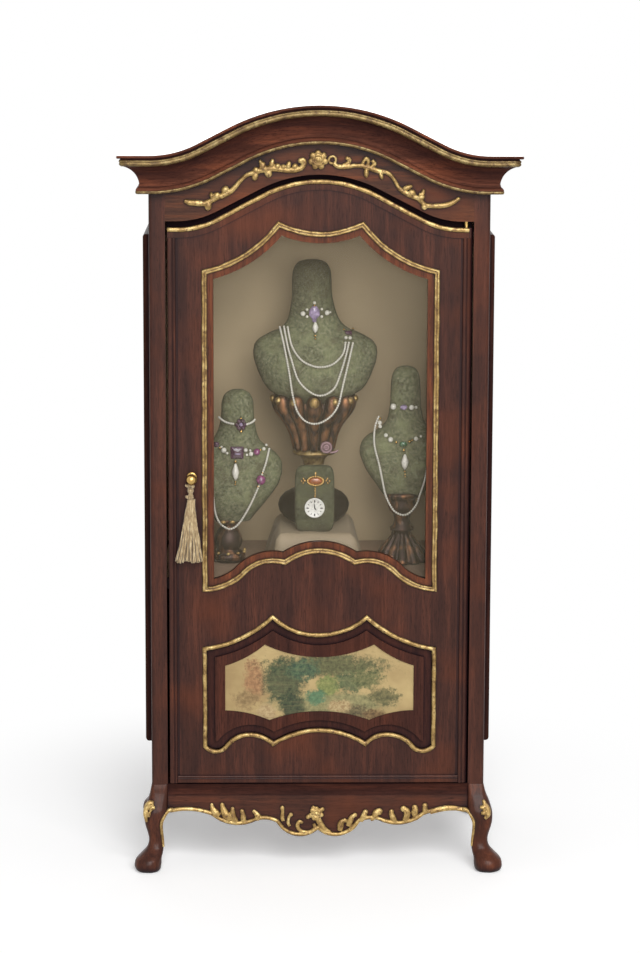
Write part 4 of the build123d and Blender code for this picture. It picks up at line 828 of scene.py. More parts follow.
def apron_ornament():
    """The gilt edge of the apron, with the sprigs that rise from it and the rose."""
    clay = Clay()
    edge = chain(0, APRON)
    points = [(x, APRON_Y - 0.12, z + EDGE_UP) for x, z in edge[::2]]
    radii = [0.52 + 0.14 * ripple(x * 0.5, 7.7) for x, _, _ in points]
    clay.tube(points, radii, steps=2)
    moved = [([(x + SPRIGS_RIGHT, z) for x, z in line], radii) for line, radii in APRON_STROKES]
    strokes(clay, moved, APRON_Y - 0.2, flat=0.7)
    x, z = APRON_ROSE
    rosette(clay, x, APRON_Y - 0.35, z, APRON_ROSE_RADIUS)
    melt(piece("apron_ornament", clay, gilt_apron, "case", replaces=["apron_carving"]),
         voxel=0.11)


apron_ornament()

# ---------------------------------------------------------------- legs
# level sections: height, swell past the post's face, reach in from it, squareness
LEG_SECTIONS = [(0.0, 3.6, 1.5, 2.3), (0.5, 4.3, 2.0, 2.3), (1.6, 4.6, 2.25, 2.2),
                (3.0, 4.2, 2.3, 2.2), (4.3, 2.8, 2.6, 2.3), (5.5, 1.6, 2.75, 2.5),
                (7.2, 1.15, 2.55, 2.8), (9.0, 1.4, 2.35, 2.8), (11.0, 1.95, 2.2, 2.8),
                (12.6, 2.2, 2.4, 2.8), (14.2, 2.2, 3.5, 3.0), (15.6, 1.85, POST, 3.2),
                (17.0, 1.35, POST, 3.6), (18.8, 0.6, POST, 5.0), (21.2, 0.0, POST, 9.0)]
ANKLE = 8.0
LEG_TRIM = {-1: -0.35, 1: 0.0}   # how much further out each side's legs swell
TRIM_TOP = 20.0           # the height where this trim starts
TRIM_RUN = 4.0            # how far below that it is whole
TOES = 7                  # toes that a full turn would hold
TOES_TOP = 4.0            # height of the grooves between them
GROOVE = 0.12             # depth of the grooves


def rounded(cx, cy, half_x, half_y, power, sides=36):
    """Points of a rounded rectangle: power 2 is an ellipse, and more is squarer."""
    points = []
    for a in angles(sides, shift=0.5):
        c, s = math.cos(a), math.sin(a)
        points.append((cx + half_x * math.copysign(abs(c) ** (2 / power), c),
                       cy + half_y * math.copysign(abs(s) ** (2 / power), s)))
    return points


def leg(name, side, end, y_face, kicks):
    """A cabriole leg with a toed pad foot, at one corner."""
    clay = Clay()
    rings = []
    for z, out, reach_in, power in curved(LEG_SECTIONS, 5):
        out += LEG_TRIM[side] * min(1.0, max(0.0, (TRIM_TOP - z) / TRIM_RUN))
        size = out + reach_in
        depth = size if kicks or z < ANKLE else min(size, POST)
        forward = out if kicks else 0.0
        cx = side * (HALF + out - size / 2)
        cy = y_face + end * (forward - depth / 2)
        outward = Vector((side, end if kicks else 0)).normalized()
        points = []
        for x, y in rounded(cx, cy, size / 2, depth / 2, power):
            away = Vector((x - cx, y - cy)).normalized()
            if z < TOES_TOP and away.dot(outward) > 0.2:
                angle = math.atan2(y - cy, x - cx)
                groove = GROOVE * max(0.0, math.cos(angle * TOES)) * (1 - z / TOES_TOP)
                x -= away.x * groove
                y -= away.y * groove
            points.append((x, y, z))
        rings.append(points)
    clay.skin(rings)
    piece(name, clay, wood_leg, "case", replaces=[name.replace("cabriole", "leg")])


for word, side in (("left", -1), ("right", 1)):
    leg(f"cabriole_front_{word}", side, -1, FRONT, True)
    leg(f"cabriole_back_{word}", side, 1, BACK, False)


def leg_at(z):
    """The section of a leg at a height."""
    return min(curved(LEG_SECTIONS, 5), key=lambda section: abs(section[0] - z))


def leg_front(x, z):
    """The y of a front leg's front surface."""
    _, out, reach_in, power = leg_at(z)
    half = (out + reach_in) / 2
    across = min(abs(abs(x) - (HALF + out - half)) / half, 0.97)
    return FRONT - out + half - half * (1 - across ** power) ** (1 / power)


# leaves on the knees, from root to tip: x, z and the radius along each
KNEE_LEAVES = [
    ([(-39.5, 16.9), (-40.4, 16.9), (-41.15, 15.9), (-41.5, 14.3), (-41.25, 12.4)],
     [.45, .75, .75, .58, .32]),
    ([(-39.2, 15.9), (-39.8, 15.9), (-40.4, 15.2)], [.45, .6, .4]),
    ([(-40.6, 15.0), (-40.7, 13.7)], [.5, .35]),
    ([(39.9, 17.5), (40.2, 16.6), (40.9, 15.4), (41.0, 14.2), (40.2, 13.1)],
     [.35, .55, .7, .65, .4]),
    ([(39.0, 15.9), (39.9, 15.8), (40.6, 16.2)], [.4, .6, .4]),
    ([(39.3, 14.5), (40.0, 14.6), (40.8, 14.9)], [.4, .6, .4])]
# the gilt line down a leg's inner edge: x and z, then its radii from the apron down
INNER_LINE = [(35.6, 14.9), (36.6, 14.2), (37.2, 13.2), (37.6, 12.2), (37.8, 11.0), (37.7, 9.2),
              (37.5, 7.6), (37.3, 5.6)]
INNER_START = (35.0, 14.9)    # where it leaves the apron's edge
INNER_RADII = [.45, .5, .52, .52, .5, .48, .45, .4, .3]
INNER_TURN = 13.5         # below this height the line keeps to the leg's edge


def knee_gilding():
    """Gilt leaves on the knees and the gilt line down the inner edge of each front leg."""
    clay = Clay()
    for line, radii in KNEE_LEAVES:
        clay.tube([(x, leg_front(x, z) - 0.15, z) for x, z in line], radii)
    for side in (-1, 1):
        x, z = INNER_START
        points = [(side * x, APRON_Y - 0.2, z)]
        for x, z in INNER_LINE:
            _, out, reach_in, _ = leg_at(z)
            inner = HALF - reach_in
            depth = FRONT - out + 0.3 * (out + reach_in)
            reach = max(x, inner - 0.05) if z < INNER_TURN else x
            points.append((side * reach, depth, z))
        clay.tube(points, INNER_RADII)
    melt(piece("knee_gilding", clay, gilt, "case", replaces=["knee_leaves"]),
         voxel=0.12, rounds=2)


knee_gilding()

# ---------------------------------------------------------------- busts
# level sections: height, half width, half depth, middle's y and x from the bust's own, squareness
MIDDLE_BUST = [(110.0, 7.4, 5.2, 0.0, 0.0, 2.2), (111.6, 8.6, 6.1, -0.1, 0.0, 2.2),
               (112.7, 10.4, 7.0, -0.2, 0.0, 2.2), (113.8, 11.8, 7.7, -0.3, 0.1, 2.2),
               (116.2, 13.3, 8.2, -0.4, 0.1, 2.3), (119.8, 14.7, 8.3, -0.3, 0.1, 2.3),
               (122.8, 15.2, 7.4, 0.0, 0.1, 2.4), (125.1, 14.4, 6.3, 0.2, 0.0, 2.3),
               (127.0, 11.6, 5.6, 0.4, -0.1, 2.1), (128.5, 8.3, 5.0, 0.4, -0.2, 2.0),
               (131.0, 6.2, 4.5, 0.3, -0.4, 2.0), (136.0, 5.0, 4.2, 0.1, -0.7, 2.0),
               (141.0, 4.8, 4.2, 0.0, -0.8, 2.0), (143.2, 4.4, 4.0, 0.0, -0.8, 2.0),
               (144.7, 3.3, 2.9, 0.0, -0.8, 2.0), (145.3, 1.5, 1.2, 0.0, -0.8, 2.0)]
LEFT_BUST = [(81.7, 4.4, 3.2, 0.0, 0.0, 2.2), (84.0, 6.2, 4.4, -0.2, 0.0, 2.2),
             (87.6, 9.0, 5.8, -0.3, 0.1, 2.3), (91.0, 11.2, 6.2, -0.2, 0.2, 2.3),
             (94.0, 12.0, 5.6, 0.0, 0.2, 2.3), (97.0, 11.4, 5.0, 0.2, 0.3, 2.2),
             (99.4, 8.8, 4.4, 0.3, 0.5, 2.1), (101.4, 5.9, 4.0, 0.3, 0.9, 2.0),
             (104.6, 4.5, 3.7, 0.1, 1.2, 2.0), (108.0, 4.0, 3.5, 0.0, 1.28, 2.0),
             (111.0, 3.85, 3.3, 0.0, 1.28, 2.0), (113.0, 3.0, 2.6, 0.0, 1.28, 2.0),
             (114.0, 1.4, 1.1, 0.0, 1.28, 2.0)]
RIGHT_BUST = [(88.1, 4.9, 3.4, 0.0, 0.0, 2.2), (90.6, 6.6, 4.6, -0.2, 0.0, 2.2),
              (94.2, 9.1, 5.8, -0.3, 0.1, 2.3), (97.4, 10.6, 5.9, -0.2, 0.2, 2.3),
              (99.8, 10.8, 5.2, 0.0, 0.2, 2.3), (102.2, 9.6, 4.6, 0.2, 0.3, 2.2),
              (104.2, 6.7, 4.1, 0.3, 0.4, 2.1), (106.4, 4.6, 3.8, 0.2, 0.5, 2.0),
              (110.0, 3.85, 3.6, 0.0, 0.5, 2.0), (114.0, 3.65, 3.5, 0.0, 0.5, 2.0),
              (117.2, 3.4, 3.2, 0.0, 0.5, 2.0), (119.1, 2.5, 2.3, 0.0, 0.5, 2.0),
              (119.8, 1.2, 1.0, 0.0, 0.5, 2.0)]
HANGS_BELOW = 114.0       # below this height a necklace hangs in front of the urn
URN_FRONT = -2.4          # y of the urn's front
FUZZ = 0.012              # how uneven the flock is, as a share of a bust's width
FUZZ_SIZE = 1.7           # bumps of the flock in a millimetre
# x and y of each bust, and its sections
BUSTS = {"middle": (-0.6, 6.5, MIDDLE_BUST), "left": (-20.8, 1.5, LEFT_BUST),
         "right": (21.0, 1.5, RIGHT_BUST)}


# the flock's painted shade grows as a face turns away from this way
OUT_OF_CASE = (0.0, -0.99, 0.15)    # forward and a little up


def flocked(name, tone=1.0):
    """Moss green flock: short upright fibres, rubbed lighter in the open, with painted shade
    where they turn away from the open front, painted shade in the folds and a painted shadow
    on the tall bust's crown."""
    f = Finish(name)
    place = f.stretched((1, 1, 1))
    fibre = f.clouds(place, 1.5, 4.0, 0.7)
    patch = f.clouds(place, 0.2, 4.0, 0.6)
    worn = f.clouds(place, 0.33, 3.0, 0.6)
    colour = f.ramp(fibre, *((at, shaded(green, tone)) for at, green in (
        (0.34, tint(70, 74, 56)), (0.5, tint(104, 107, 82)), (0.66, tint(136, 137, 112)))))
    colour = f.blend(f.ramp(patch, (0.45, 0.0), (0.68, 0.65)), colour,
                     shaded(tint(134, 138, 102), tone))
    colour = f.blend(f.ramp(worn, (0.3, 0.7), (0.46, 0.0)), colour, shaded(tint(84, 80, 62), tone))
    # a painted shadow on the tall bust's crown, darker with height
    colour = f.blend(f.ramp(f.axis("Z", 132.0, 145.0), (0.0, 0.0), (0.9, 0.7)), colour,
                     shaded(tint(70, 64, 50), tone))
    # painted shade in the folds and hollows
    colour = f.blend(f.ramp(f.nook(5.0), (0.3, 0.8), (0.85, 0.0)), colour, tint(66, 62, 50))
    # painted shade where the flock turns side-on to the front
    side_shade = f.ramp(f.facing(OUT_OF_CASE), (0.04, 0.75), (0.25, 0.37), (0.54, 0.0))
    colour = f.blend(side_shade, colour, tint(84, 82, 66))
    return f.surface(Base_Color=colour, Roughness=0.95, Specular_IOR_Level=0.1,
                     Normal=f.bump(fibre, 0.15))


velvet = flocked("moss_flock", 0.86)
pad_velvet = flocked("pad_flock", 0.45)


def torso(word):
    """A flocked bust with a fuzzy surface."""
    x, y, sections = BUSTS[word]
    clay = Clay()
    rings = []
    for z, half, depth, shift, lean, power in curved(sections, 5):
        ring_points = []
        for px, py in rounded(lean, shift, half, depth, power, 48):
            fuzz = 1 + FUZZ * ripple(*(v * FUZZ_SIZE for v in (x + px, y + py, z)))
            ring_points.append((x + lean + (px - lean) * fuzz, y + shift + (py - shift) * fuzz, z))
        rings.append(ring_points)
    clay.skin(rings)
    piece(f"torso_{word}", clay, velvet, "case", replaces=[f"bust_{word}"])


def chest(word, x, z):
    """The y of a bust's front surface at an x and z."""
    mid, y, sections = BUSTS[word]
    level = max(z, HANGS_BELOW) if word == "middle" else z
    best = min(curved(sections, 5), key=lambda s: abs(s[0] - level))
    _, half, depth, shift, lean, power = best
    across = min(abs(x - mid - lean) / half, 0.985)
    front = y + shift - depth * (1 - across ** power) ** (1 / power)
    if word == "middle" and z < HANGS_BELOW:
        share = min(1.0, (HANGS_BELOW - z) / 2)
        front += (min(front, URN_FRONT) - front) * share
    return front


for word in BUSTS:
    torso(word)


# ---------------------------------------------------------------- stands
def bronze_finish(name, rub):
    """Dark bronze with gold rubbed on in patches and painted shade in its hollows, so what stands
    out looks lighter. rub is how much gold there is.
    """
    f = Finish(name)
    place = f.stretched((1, 1, 1))
    cloud = f.clouds(f.stretched((1, 1, 0.4)), 0.6, 3.0, 0.5)
    fine = f.clouds(place, 3.5, 3.0, 0.6)
    gold = f.ramp(cloud, (0.62 - rub, 0.0), (0.95 - rub, 1.0))
    colour = f.blend(gold, tint(52, 38, 34), tint(172, 118, 78))
    # painted shade in the hollows, nearly black
    colour = f.blend(f.ramp(f.nook(1.8), (0.35, 0.97), (0.75, 0.4), (0.96, 0.0)), colour,
                     tint(24, 17, 22))
    return f.surface(Base_Color=colour, Metallic=0.75, Roughness=f.ramp(fine, (0.3, 0.5), (0.7, 0.3)),
                     Normal=f.bump(fine, 0.08))


bronze_rubbed = bronze_finish("bronze_rubbed", 0.24)
bronze_dark = bronze_finish("bronze_dark", 0.14)
gilt_urn = gilding("gilt_urn", tone=0.65)


def lobed(count, depth, low, high):
    """Swells a turned shape into lobes between two heights."""
    def shape(angle, z):
        t = min(max((z - low) / (high - low), 0.0), 1.0)
        ease = math.sin(math.pi * t) ** 0.6 if 0 < t < 1 else 0.0
        return 1 + depth * ease * (abs(math.cos(angle * count / 2)) ** 0.7 - 0.65)
    return shape


# the urn's lobes from the waist up: height, radius of their middle line, radius of a lobe
LOBES = [(98.6, 4.3, 0.95), (100.5, 4.6, 1.05), (102.2, 4.95, 1.15), (103.9, 5.45, 1.3),
         (105.6, 6.2, 1.5), (107.3, 7.25, 1.7), (109.0, 8.25, 1.85), (110.5, 8.65, 1.9),
         (111.6, 8.8, 1.65), (112.4, 8.95, 1.05), (112.7, 9.0, 0.4)]
LOBE_COUNT = 12
URN_SQUASH = 0.8
URN_X, URN_Y = BUSTS["middle"][0] - 0.2, BUSTS["middle"][1]
BOSS_REACH = 10.1         # how far from the urn's middle the bosses on its rim stand
BOSS_Z = 111.1
# turned profiles from the top down: radius and height
URN_CORE = [(0.3, 111.2)] + [(r, z) for z, r, _ in reversed(LOBES[:8])] + [(0.3, 98.2)]
URN_STEM = [(0.3, 99.0), (4.1, 98.7), (4.5, 98.4), (5.0, 98.1), (5.25, 97.8), (5.3, 97.5),
            (5.1, 97.25), (4.5, 97.1), (3.6, 96.8), (2.8, 96.0), (2.4, 94.0), (2.2, 91.0),
            (2.6, 89.4), (3.2, 89.1), (0.3, 89.0)]
URN_FOOT = [(0.3, 89.0), (3.2, 88.9), (5.4, 88.3), (7.3, 87.3), (8.4, 86.0), (8.8, 84.6),
            (8.5, 83.2), (7.6, 81.9), (6.2, 80.8), (4.6, 80.05), (0.3, 80.0)]
LEFT_STAND = (-21.8, 1.5)
LEFT_PROFILE = [(0.3, 82.4), (3.2, 82.3), (3.5, 81.9), (3.2, 81.4), (2.2, 80.9), (1.9, 80.2),
                (2.5, 79.2), (3.2, 77.8), (3.5, 76.4), (3.2, 75.2), (2.8, 74.6), (3.0, 74.2),
                (4.0, 73.6), (4.2, 72.8), (4.1, 71.7), (0.3, 71.6)]
STUDS = 10
STUD_REACH = 4.1          # how far from the left stand's middle its studs stand
STUD_Z = 73.9
COLLAR_STUDS = (-1.2, 1.0)    # the two studs on its collar: how far aside
COLLAR_Y, COLLAR_Z = -1.9, 81.7
RIGHT_STAND = (20.8, 1.5)
RIGHT_PROFILE = [(0.3, 88.9), (4.2, 88.8), (4.6, 88.3), (4.4, 87.7), (3.4, 87.2), (3.3, 86.4),
                 (3.6, 85.4), (3.2, 84.2), (2.2, 83.2), (1.9, 81.8), (2.2, 80.4), (2.9, 79.8),
                 (2.9, 79.2), (2.3, 78.8), (2.6, 77.9), (3.5, 76.6), (4.7, 75.0), (5.7, 73.4),
                 (6.4, 72.2), (6.5, 71.7), (0.3, 71.6)]


def turned_piece(name, place, profile, sides, finish, slot, replaces=(), **how):
    """A piece of the display that is one turned shape."""
    clay = Clay()
    clay.turned(place, profile, sides, **how)
    piece(name, clay, finish, "case", replaces=replaces)


def urn():
    """The tall bust's lobed urn, with gilt bosses on its rim."""
    clay = Clay()
    clay.turned((URN_X, URN_Y), URN_CORE, 64, URN_SQUASH)
    bosses = Clay()
    for i, a in enumerate(angles(LOBE_COUNT, -math.pi / 2)):
        c, s = math.cos(a), URN_SQUASH * math.sin(a)
        clay.tube([(URN_X + r * c, URN_Y + r * s, z) for z, r, _ in LOBES],
                  [lobe for _, _, lobe in LOBES], 14, 3)
        size = 1.2 if i == 0 else 0.85
        bosses.ball((URN_X + BOSS_REACH * c, URN_Y + BOSS_REACH * s - 0.3, BOSS_Z),
                    (size, 0.9, size * 1.1))
    piece("urn", clay, bronze_rubbed, "case", replaces=["urn_middle"])
    piece("urn_bosses", bosses, gilt, "case")


def left_stand_studs():
    """Gilt studs round the left stand's foot, and two on its collar."""
    x, y = LEFT_STAND
    studs = Clay()
    for a in angles(STUDS, -math.pi / 2):
        studs.ball((x + STUD_REACH * math.cos(a), y + STUD_REACH * math.sin(a), STUD_Z),
                   (.5, .4, .4), 8, 6)
    for aside in COLLAR_STUDS:
        studs.ball((x + aside, COLLAR_Y, COLLAR_Z), (.75, .4, .45), 8, 6)
    piece("low_stand_studs", studs, gilt, "case")


urn()
turned_piece("urn_stem", (URN_X, URN_Y), URN_STEM, 64, gilt_urn, "gilt", squash=URN_SQUASH)
turned_piece("urn_base", (URN_X, URN_Y), URN_FOOT, 48, ebonised, "ebonised", ["urn_foot"])
turned_piece("low_stand_left", LEFT_STAND, LEFT_PROFILE, 40, bronze_dark, "bronze", ["stand_left"])
left_stand_studs()
turned_piece("low_stand_right", RIGHT_STAND, RIGHT_PROFILE, 96, bronze_dark, "bronze",
             ["stand_right"], shape=lobed(count=12, depth=0.26, low=70.0, high=79.0))

# ---------------------------------------------------------------- jewellery
STRAND_BEAD = 0.29        # radius of a seed bead


def spaced(points, gap):
    """Points a fixed distance apart along a line."""
    line = curved(points, 12)
    out = [Vector(line[0])]
    left = gap
    for a, b in zip(line, line[1:]):
        a, b = Vector(a), Vector(b)
        span = (b - a).length
        at = left
        while at <= span:
            out.append(a.lerp(b, at / span))
            at += gap
        left = at - span
    return out


def strand(clay, word, points, bead=STRAND_BEAD, lift=0.25):
    """Seed beads along a line of x and z that lies on a bust's front."""
    placed = [(x, chest(word, x, z) - bead - lift, z) for x, z in points]
    for spot in spaced(placed, bead * 2.05):
        clay.ball(spot, (bead, bead, bead), 8, 6)


# strings of seed beads on each bust: x and z of the points that they hang through
STRANDS = {
    "middle": [
        [(-7.3, 129.0), (-6.3, 124.9), (-4.3, 122.0), (-1.9, 120.6), (0.5, 120.1), (3.0, 120.5),
         (4.9, 121.7), (6.3, 123.5), (6.8, 125.8)],
        [(-8.2, 129.0), (-7.3, 124.8), (-6.3, 121.4), (-5.0, 117.4), (-3.3, 115.1), (-1.3, 113.6),
         (0.5, 113.1), (2.5, 113.6), (4.3, 115.3), (5.6, 118.8), (6.8, 122.6), (7.6, 125.7)],
        [(-9.2, 128.8), (-8.2, 125.0), (-7.0, 119.0), (-6.1, 113.2), (-5.1, 109.6), (-3.6, 107.4),
         (-1.9, 106.4), (0.0, 106.3), (2.0, 107.2), (3.8, 108.8), (5.1, 111.2), (6.1, 115.4),
         (7.4, 120.9), (8.6, 125.6)]],
    "left": [
        [(-11.8, 99.5), (-12.5, 96.8), (-13.4, 94.3), (-13.8, 92.5), (-14.9, 89.8), (-16.3, 86.6),
         (-18.2, 82.9), (-19.9, 80.7), (-21.7, 80.1), (-23.8, 81.4), (-24.9, 84.2), (-25.4, 88.9),
         (-25.8, 92.2)],
        [(-24.0, 107.3), (-23.2, 106.8), (-22.1, 106.4), (-20.7, 106.2), (-20.1, 106.1)],
        [(-17.2, 106.0), (-16.0, 106.3), (-15.2, 106.8)]],
    "right": [
        [(14.9, 107.4), (14.0, 104.7), (13.8, 101.0), (15.0, 96.1), (16.4, 89.3), (17.4, 86.6),
         (18.8, 84.5), (20.8, 83.6), (22.6, 84.2), (24.2, 86.1), (25.1, 88.6), (26.1, 92.8),
         (26.8, 97.6)]]}
# how far in front of the bust's surface they hang
SLACK = {"middle": 0.25, "left": 0.35, "right": 0.35}


def stone_finish(name, colour):
    """A glossy stone, cloudy inside."""
    f = Finish(name)
    cloud = f.clouds(f.stretched((1, 1, 1)), 1.4, 3.0, 0.5)
    return f.surface(Base_Color=f.ramp(cloud, (0.35, shaded(colour, 0.45)), (0.65, colour)),
                     Roughness=0.12, Coat_Weight=0.6, Coat_Roughness=0.05)


amethyst = stone_finish("amethyst", tint(78, 42, 70))
plum = stone_finish("plum", tint(150, 74, 124))
lilac = stone_finish("lilac", tint(166, 146, 182))
emerald = stone_finish("emerald", tint(52, 104, 66))
amber = stone_finish("amber", tint(170, 92, 44))


# a cut stone from its back to its flat front: share of its full size, share of its half depth
GEM_STEPS = ((1.0, 0.3), (1.0, 0.0), (0.72, -0.7), (0.3, -1.0))


def gem(clay, place, half_x, half_z, half_y=0.45, sides=8):
    """A faceted stone that faces the front."""
    x, y, z = place
    clay.skin([[(x + half_x * size * math.cos(a), y + half_y * depth,
                 z + half_z * size * math.sin(a)) for a in angles(sides, shift=0.5)]
               for size, depth in GEM_STEPS])


def drop(clay, x, y, z_top, z_low, radius):
    """A drop pearl, pointed at both ends."""
    clay.turned((x, y), [(0.08, z_top), (0.3 * radius, z_top - 0.1),
                         (0.8 * radius, z_top * 0.65 + z_low * 0.35),
                         (radius, (z_top + z_low) / 2),
                         (0.7 * radius, z_top * 0.2 + z_low * 0.8), (0.08, z_low)], 14)


# what is set on each bust. Stones and dark stones: their finish, then x, z, half width, half
# height and, where it isn't 8, the number of sides. Pearls, round stones and gold: x, z and
# radius. Drops: x, top, low end and radius.
JEWELS = {
    "middle": {
        "stones": (lilac, [(-0.8, 132.8, 1.35, 1.7), (-0.8, 130.9, 0.55, 0.55)]),
        "dark": (amethyst, [(7.5, 127.7, 1.25, 0.75, 4)]),
        "pearls": [(-3.6, 132.5, .62), (2.3, 132.7, .62), (-0.8, 135.2, .4), (-2.6, 133.5, .34),
                   (-2.6, 131.8, .34), (1.0, 133.6, .34), (1.0, 131.8, .34), (6.9, 126.7, .42),
                   (7.9, 126.6, .42), (3.1, 132.7, .25)],
        "drops": [(-0.6, 130.6, 127.9, .75)],
        "gold": [(-0.8, 134.6, .3), (-0.6, 127.3, .3), (-0.6, 126.6, .26), (8.7, 128.4, .3),
                 (6.4, 128.4, .3)]},
    "left": {
        "stones": (amethyst, [(-19.6, 99.1, 2.2, 2.2, 4), (-24.7, 100.8, .95, .8)]
                   + [(-18.65 + .95 * math.cos(a), 105.9 + .95 * math.sin(a), .6, .6)
                      for a in (math.pi * i / 3 for i in range(6))]),
        "dark": (lilac, [(-18.65, 105.9, .5, .5), (-19.5, 98.9, 1.0, .25, 4)]),
        "pearls": [(-22.8, 99.7, .66), (-22.0, 99.0, .34), (-23.4, 100.4, .3), (-17.5, 99.7, .5),
                   (-16.2, 98.8, .58), (-17.2, 98.6, .32), (-16.4, 99.6, .3), (-13.1, 99.7, .45),
                   (-12.5, 100.4, .34)],
        "round": (plum, [(-13.8, 92.8, 1.2), (-14.8, 99.3, .85)]),
        "drops": [(-19.95, 96.8, 92.6, .88)],
        "gold": [(-20.0, 97.1, .4), (-20.0, 92.3, .28), (-20.05, 91.7, .24), (-18.6, 104.3, .42),
                 (-18.65, 107.5, .28), (-13.4, 94.3, .4), (-14.5, 91.1, .38), (-23.8, 100.2, .3),
                 (-13.9, 99.6, .3), (-19.4, 105.0, .25), (-17.8, 105.0, .25)]},
    "right": {
        "stones": (lilac, [(20.9, 110.2, .9, .7)]),
        "dark": (emerald, [(20.8, 101.3, 1.0, .75)]),
        "pearls": [(18.4, 110.2, .75), (22.8, 110.2, .65), (23.9, 110.1, .4), (16.6, 103.3, .5),
                   (17.7, 102.4, .65), (23.9, 102.6, .55), (25.1, 103.1, .3), (15.2, 105.9, .55),
                   (15.3, 105.0, .5)],
        "drops": [(21.1, 99.2, 95.4, .9)],
        "gold": [(19.1, 101.8, .38), (22.3, 102.0, .38), (23.0, 102.3, .3), (20.9, 100.0, .4),
                 (21.1, 94.9, .28), (21.2, 94.2, .24), (21.2, 93.6, .2), (15.3, 107.0, .3)]}}


def jewellery(word):
    """The strings of beads and the set stones of one bust."""
    beads = Clay()
    for points in STRANDS[word]:
        strand(beads, word, points, lift=SLACK[word])
    jewels = JEWELS[word]
    for x, z, radius in jewels["pearls"]:
        beads.ball((x, chest(word, x, z) - radius * 0.8, z), radius, 10, 8)
    for x, top, low, radius in jewels["drops"]:
        drop(beads, x, chest(word, x, (top + low) / 2) - radius, top, low, radius)
    piece(f"strands_{word}", beads, pearl, "case", replaces=[f"necklace_{word}"])
    for key in ("stones", "dark"):
        finish, gems = jewels[key]
        clay = Clay()
        for x, z, half_x, half_z, *sides in gems:
            raised = 0.75 if half_z < 0.5 else 0.35    # a slim one is set on another stone
            gem(clay, (x, chest(word, x, z) - raised, z), half_x, half_z, 0.45, *sides)
        piece(f"{key}_{word}", clay, finish, "case", smooth=False)
    if "round" in jewels:
        finish, balls = jewels["round"]
        clay = Clay()
        for x, z, radius in balls:
            clay.ball((x, chest(word, x, z) - radius - 0.2, z), radius, 16, 12)
        piece(f"round_{word}", clay, finish, "case")
    gold = Clay()
    for x, z, radius in jewels["gold"]:
        gold.ball((x, chest(word, x, z) - radius - 0.1, z), radius, 8, 6)
    piece(f"settings_{word}", gold, brass, "case")


for word in BUSTS:
    jewellery(word)


COIL = (2.2, 1.6, 99.6)   # middle of the coiled ring


def coiled_ring():
    """The small coiled ring that lies on the urn's foot ring."""
    x, y, z = COIL
    clay = Clay()
    for radius, shift in ((1.2, 0.0), (0.55, 0.25)):
        ring(clay, x, y - shift, z, radius, 0.33)
    clay.ball((x, y + 0.1, z), (0.9, 0.25, 0.9))
    clay.tube([(x + 0.9, y, z - 1.3), (x + 2.2, y, z - 1.1), (x + 2.9, y + 0.2, z - 0.6)],
              [.26, .26, .2])
    piece("coiled_ring", clay, old_rose, "case")


coiled_ring()

# ---------------------------------------------------------------- watch pad
PAD_X, PAD_Z = -0.75, 88.1
PAD_HALF = (4.8, 8.25)    # half width and half height of the pad
PAD_FACE = -5.8           # y of the pad's front
PAD_EDGE = ((0.0, 1.0), (0.12, 0.42), (0.45, 0.1), (0.9, 0.0), (1.9, 0.0), (2.3, 0.2), (2.4, 0.8))
PINNED = PAD_FACE - 0.15  # y of what is pinned to the pad
BROOCH_X, BROOCH_Z = PAD_X + 0.2, 92.7
BROOCH_HALF = (1.9, 1.1)  # half width and half height of its ring of beads
BROOCH_BEADS = 20
# what juts out on both sides of the brooch: how far out, how far up, and the radius
BROOCH_TIPS = ((2.6, 0.1, .34), (2.9, 0.6, .3), (3.0, -0.5, .3), (3.4, 0.0, .26))
CHAIN_TOP = 90.9
CHAIN_LINKS = 4
LINK_STEP = 0.68
WATCH_Z = 86.05
MARKS_REACH = 1.68        # how far from the dial's middle the marks lie
# the dial from back to front: radius and how far it stands out
DIAL = ((2.42, -0.1), (2.45, 0.12), (2.34, 0.24), (2.16, 0.2), (2.1, 0.16), (0.2, 0.22))


def pin_pad():
    """The flocked pad with soft edges: PAD_EDGE gives how deep and how far in they run."""
    clay = Clay()
    half_x, half_z = PAD_HALF
    clay.skin([[(x, PAD_FACE + depth, z) for x, z in
                rounded(PAD_X, PAD_Z, half_x - inset, half_z - inset, 6.0, 72)]
               for depth, inset in PAD_EDGE])
    pad = piece("pin_pad", clay, pad_velvet, "case", replaces=["watch_pad"])


def brooch():
    """The beaded gold brooch with its stone, and the chain that the watch hangs from."""
    gold = Clay()
    for i in range(CHAIN_LINKS):
        gold.ball((PAD_X + 0.1, PINNED, CHAIN_TOP - LINK_STEP * i), (.2, .2, .34), 8, 6)
    ring(gold, PAD_X, PINNED, CHAIN_TOP + 1.0, 0.35, 0.12)
    half_x, half_z = BROOCH_HALF
    for a in angles(BROOCH_BEADS):
        gold.ball((BROOCH_X + half_x * math.cos(a), PINNED, BROOCH_Z + half_z * math.sin(a)),
                  .32, 8, 6)
    for side in (-1, 1):
        for reach, rise, radius in BROOCH_TIPS:
            gold.ball((BROOCH_X + side * reach, PINNED, BROOCH_Z + rise), radius, 8, 6)
    gold.ball((BROOCH_X, PINNED, BROOCH_Z + 1.8), (.28, .26, .5), 8, 6)
    piece("watch_gold", gold, brass, "case", replaces=["brooch_watch"])
    stone = Clay()
    gem(stone, (BROOCH_X, PINNED, BROOCH_Z), 1.6, 0.8, 0.4, 14)
    piece("brooch_stone", stone, amber, "case", smooth=False)


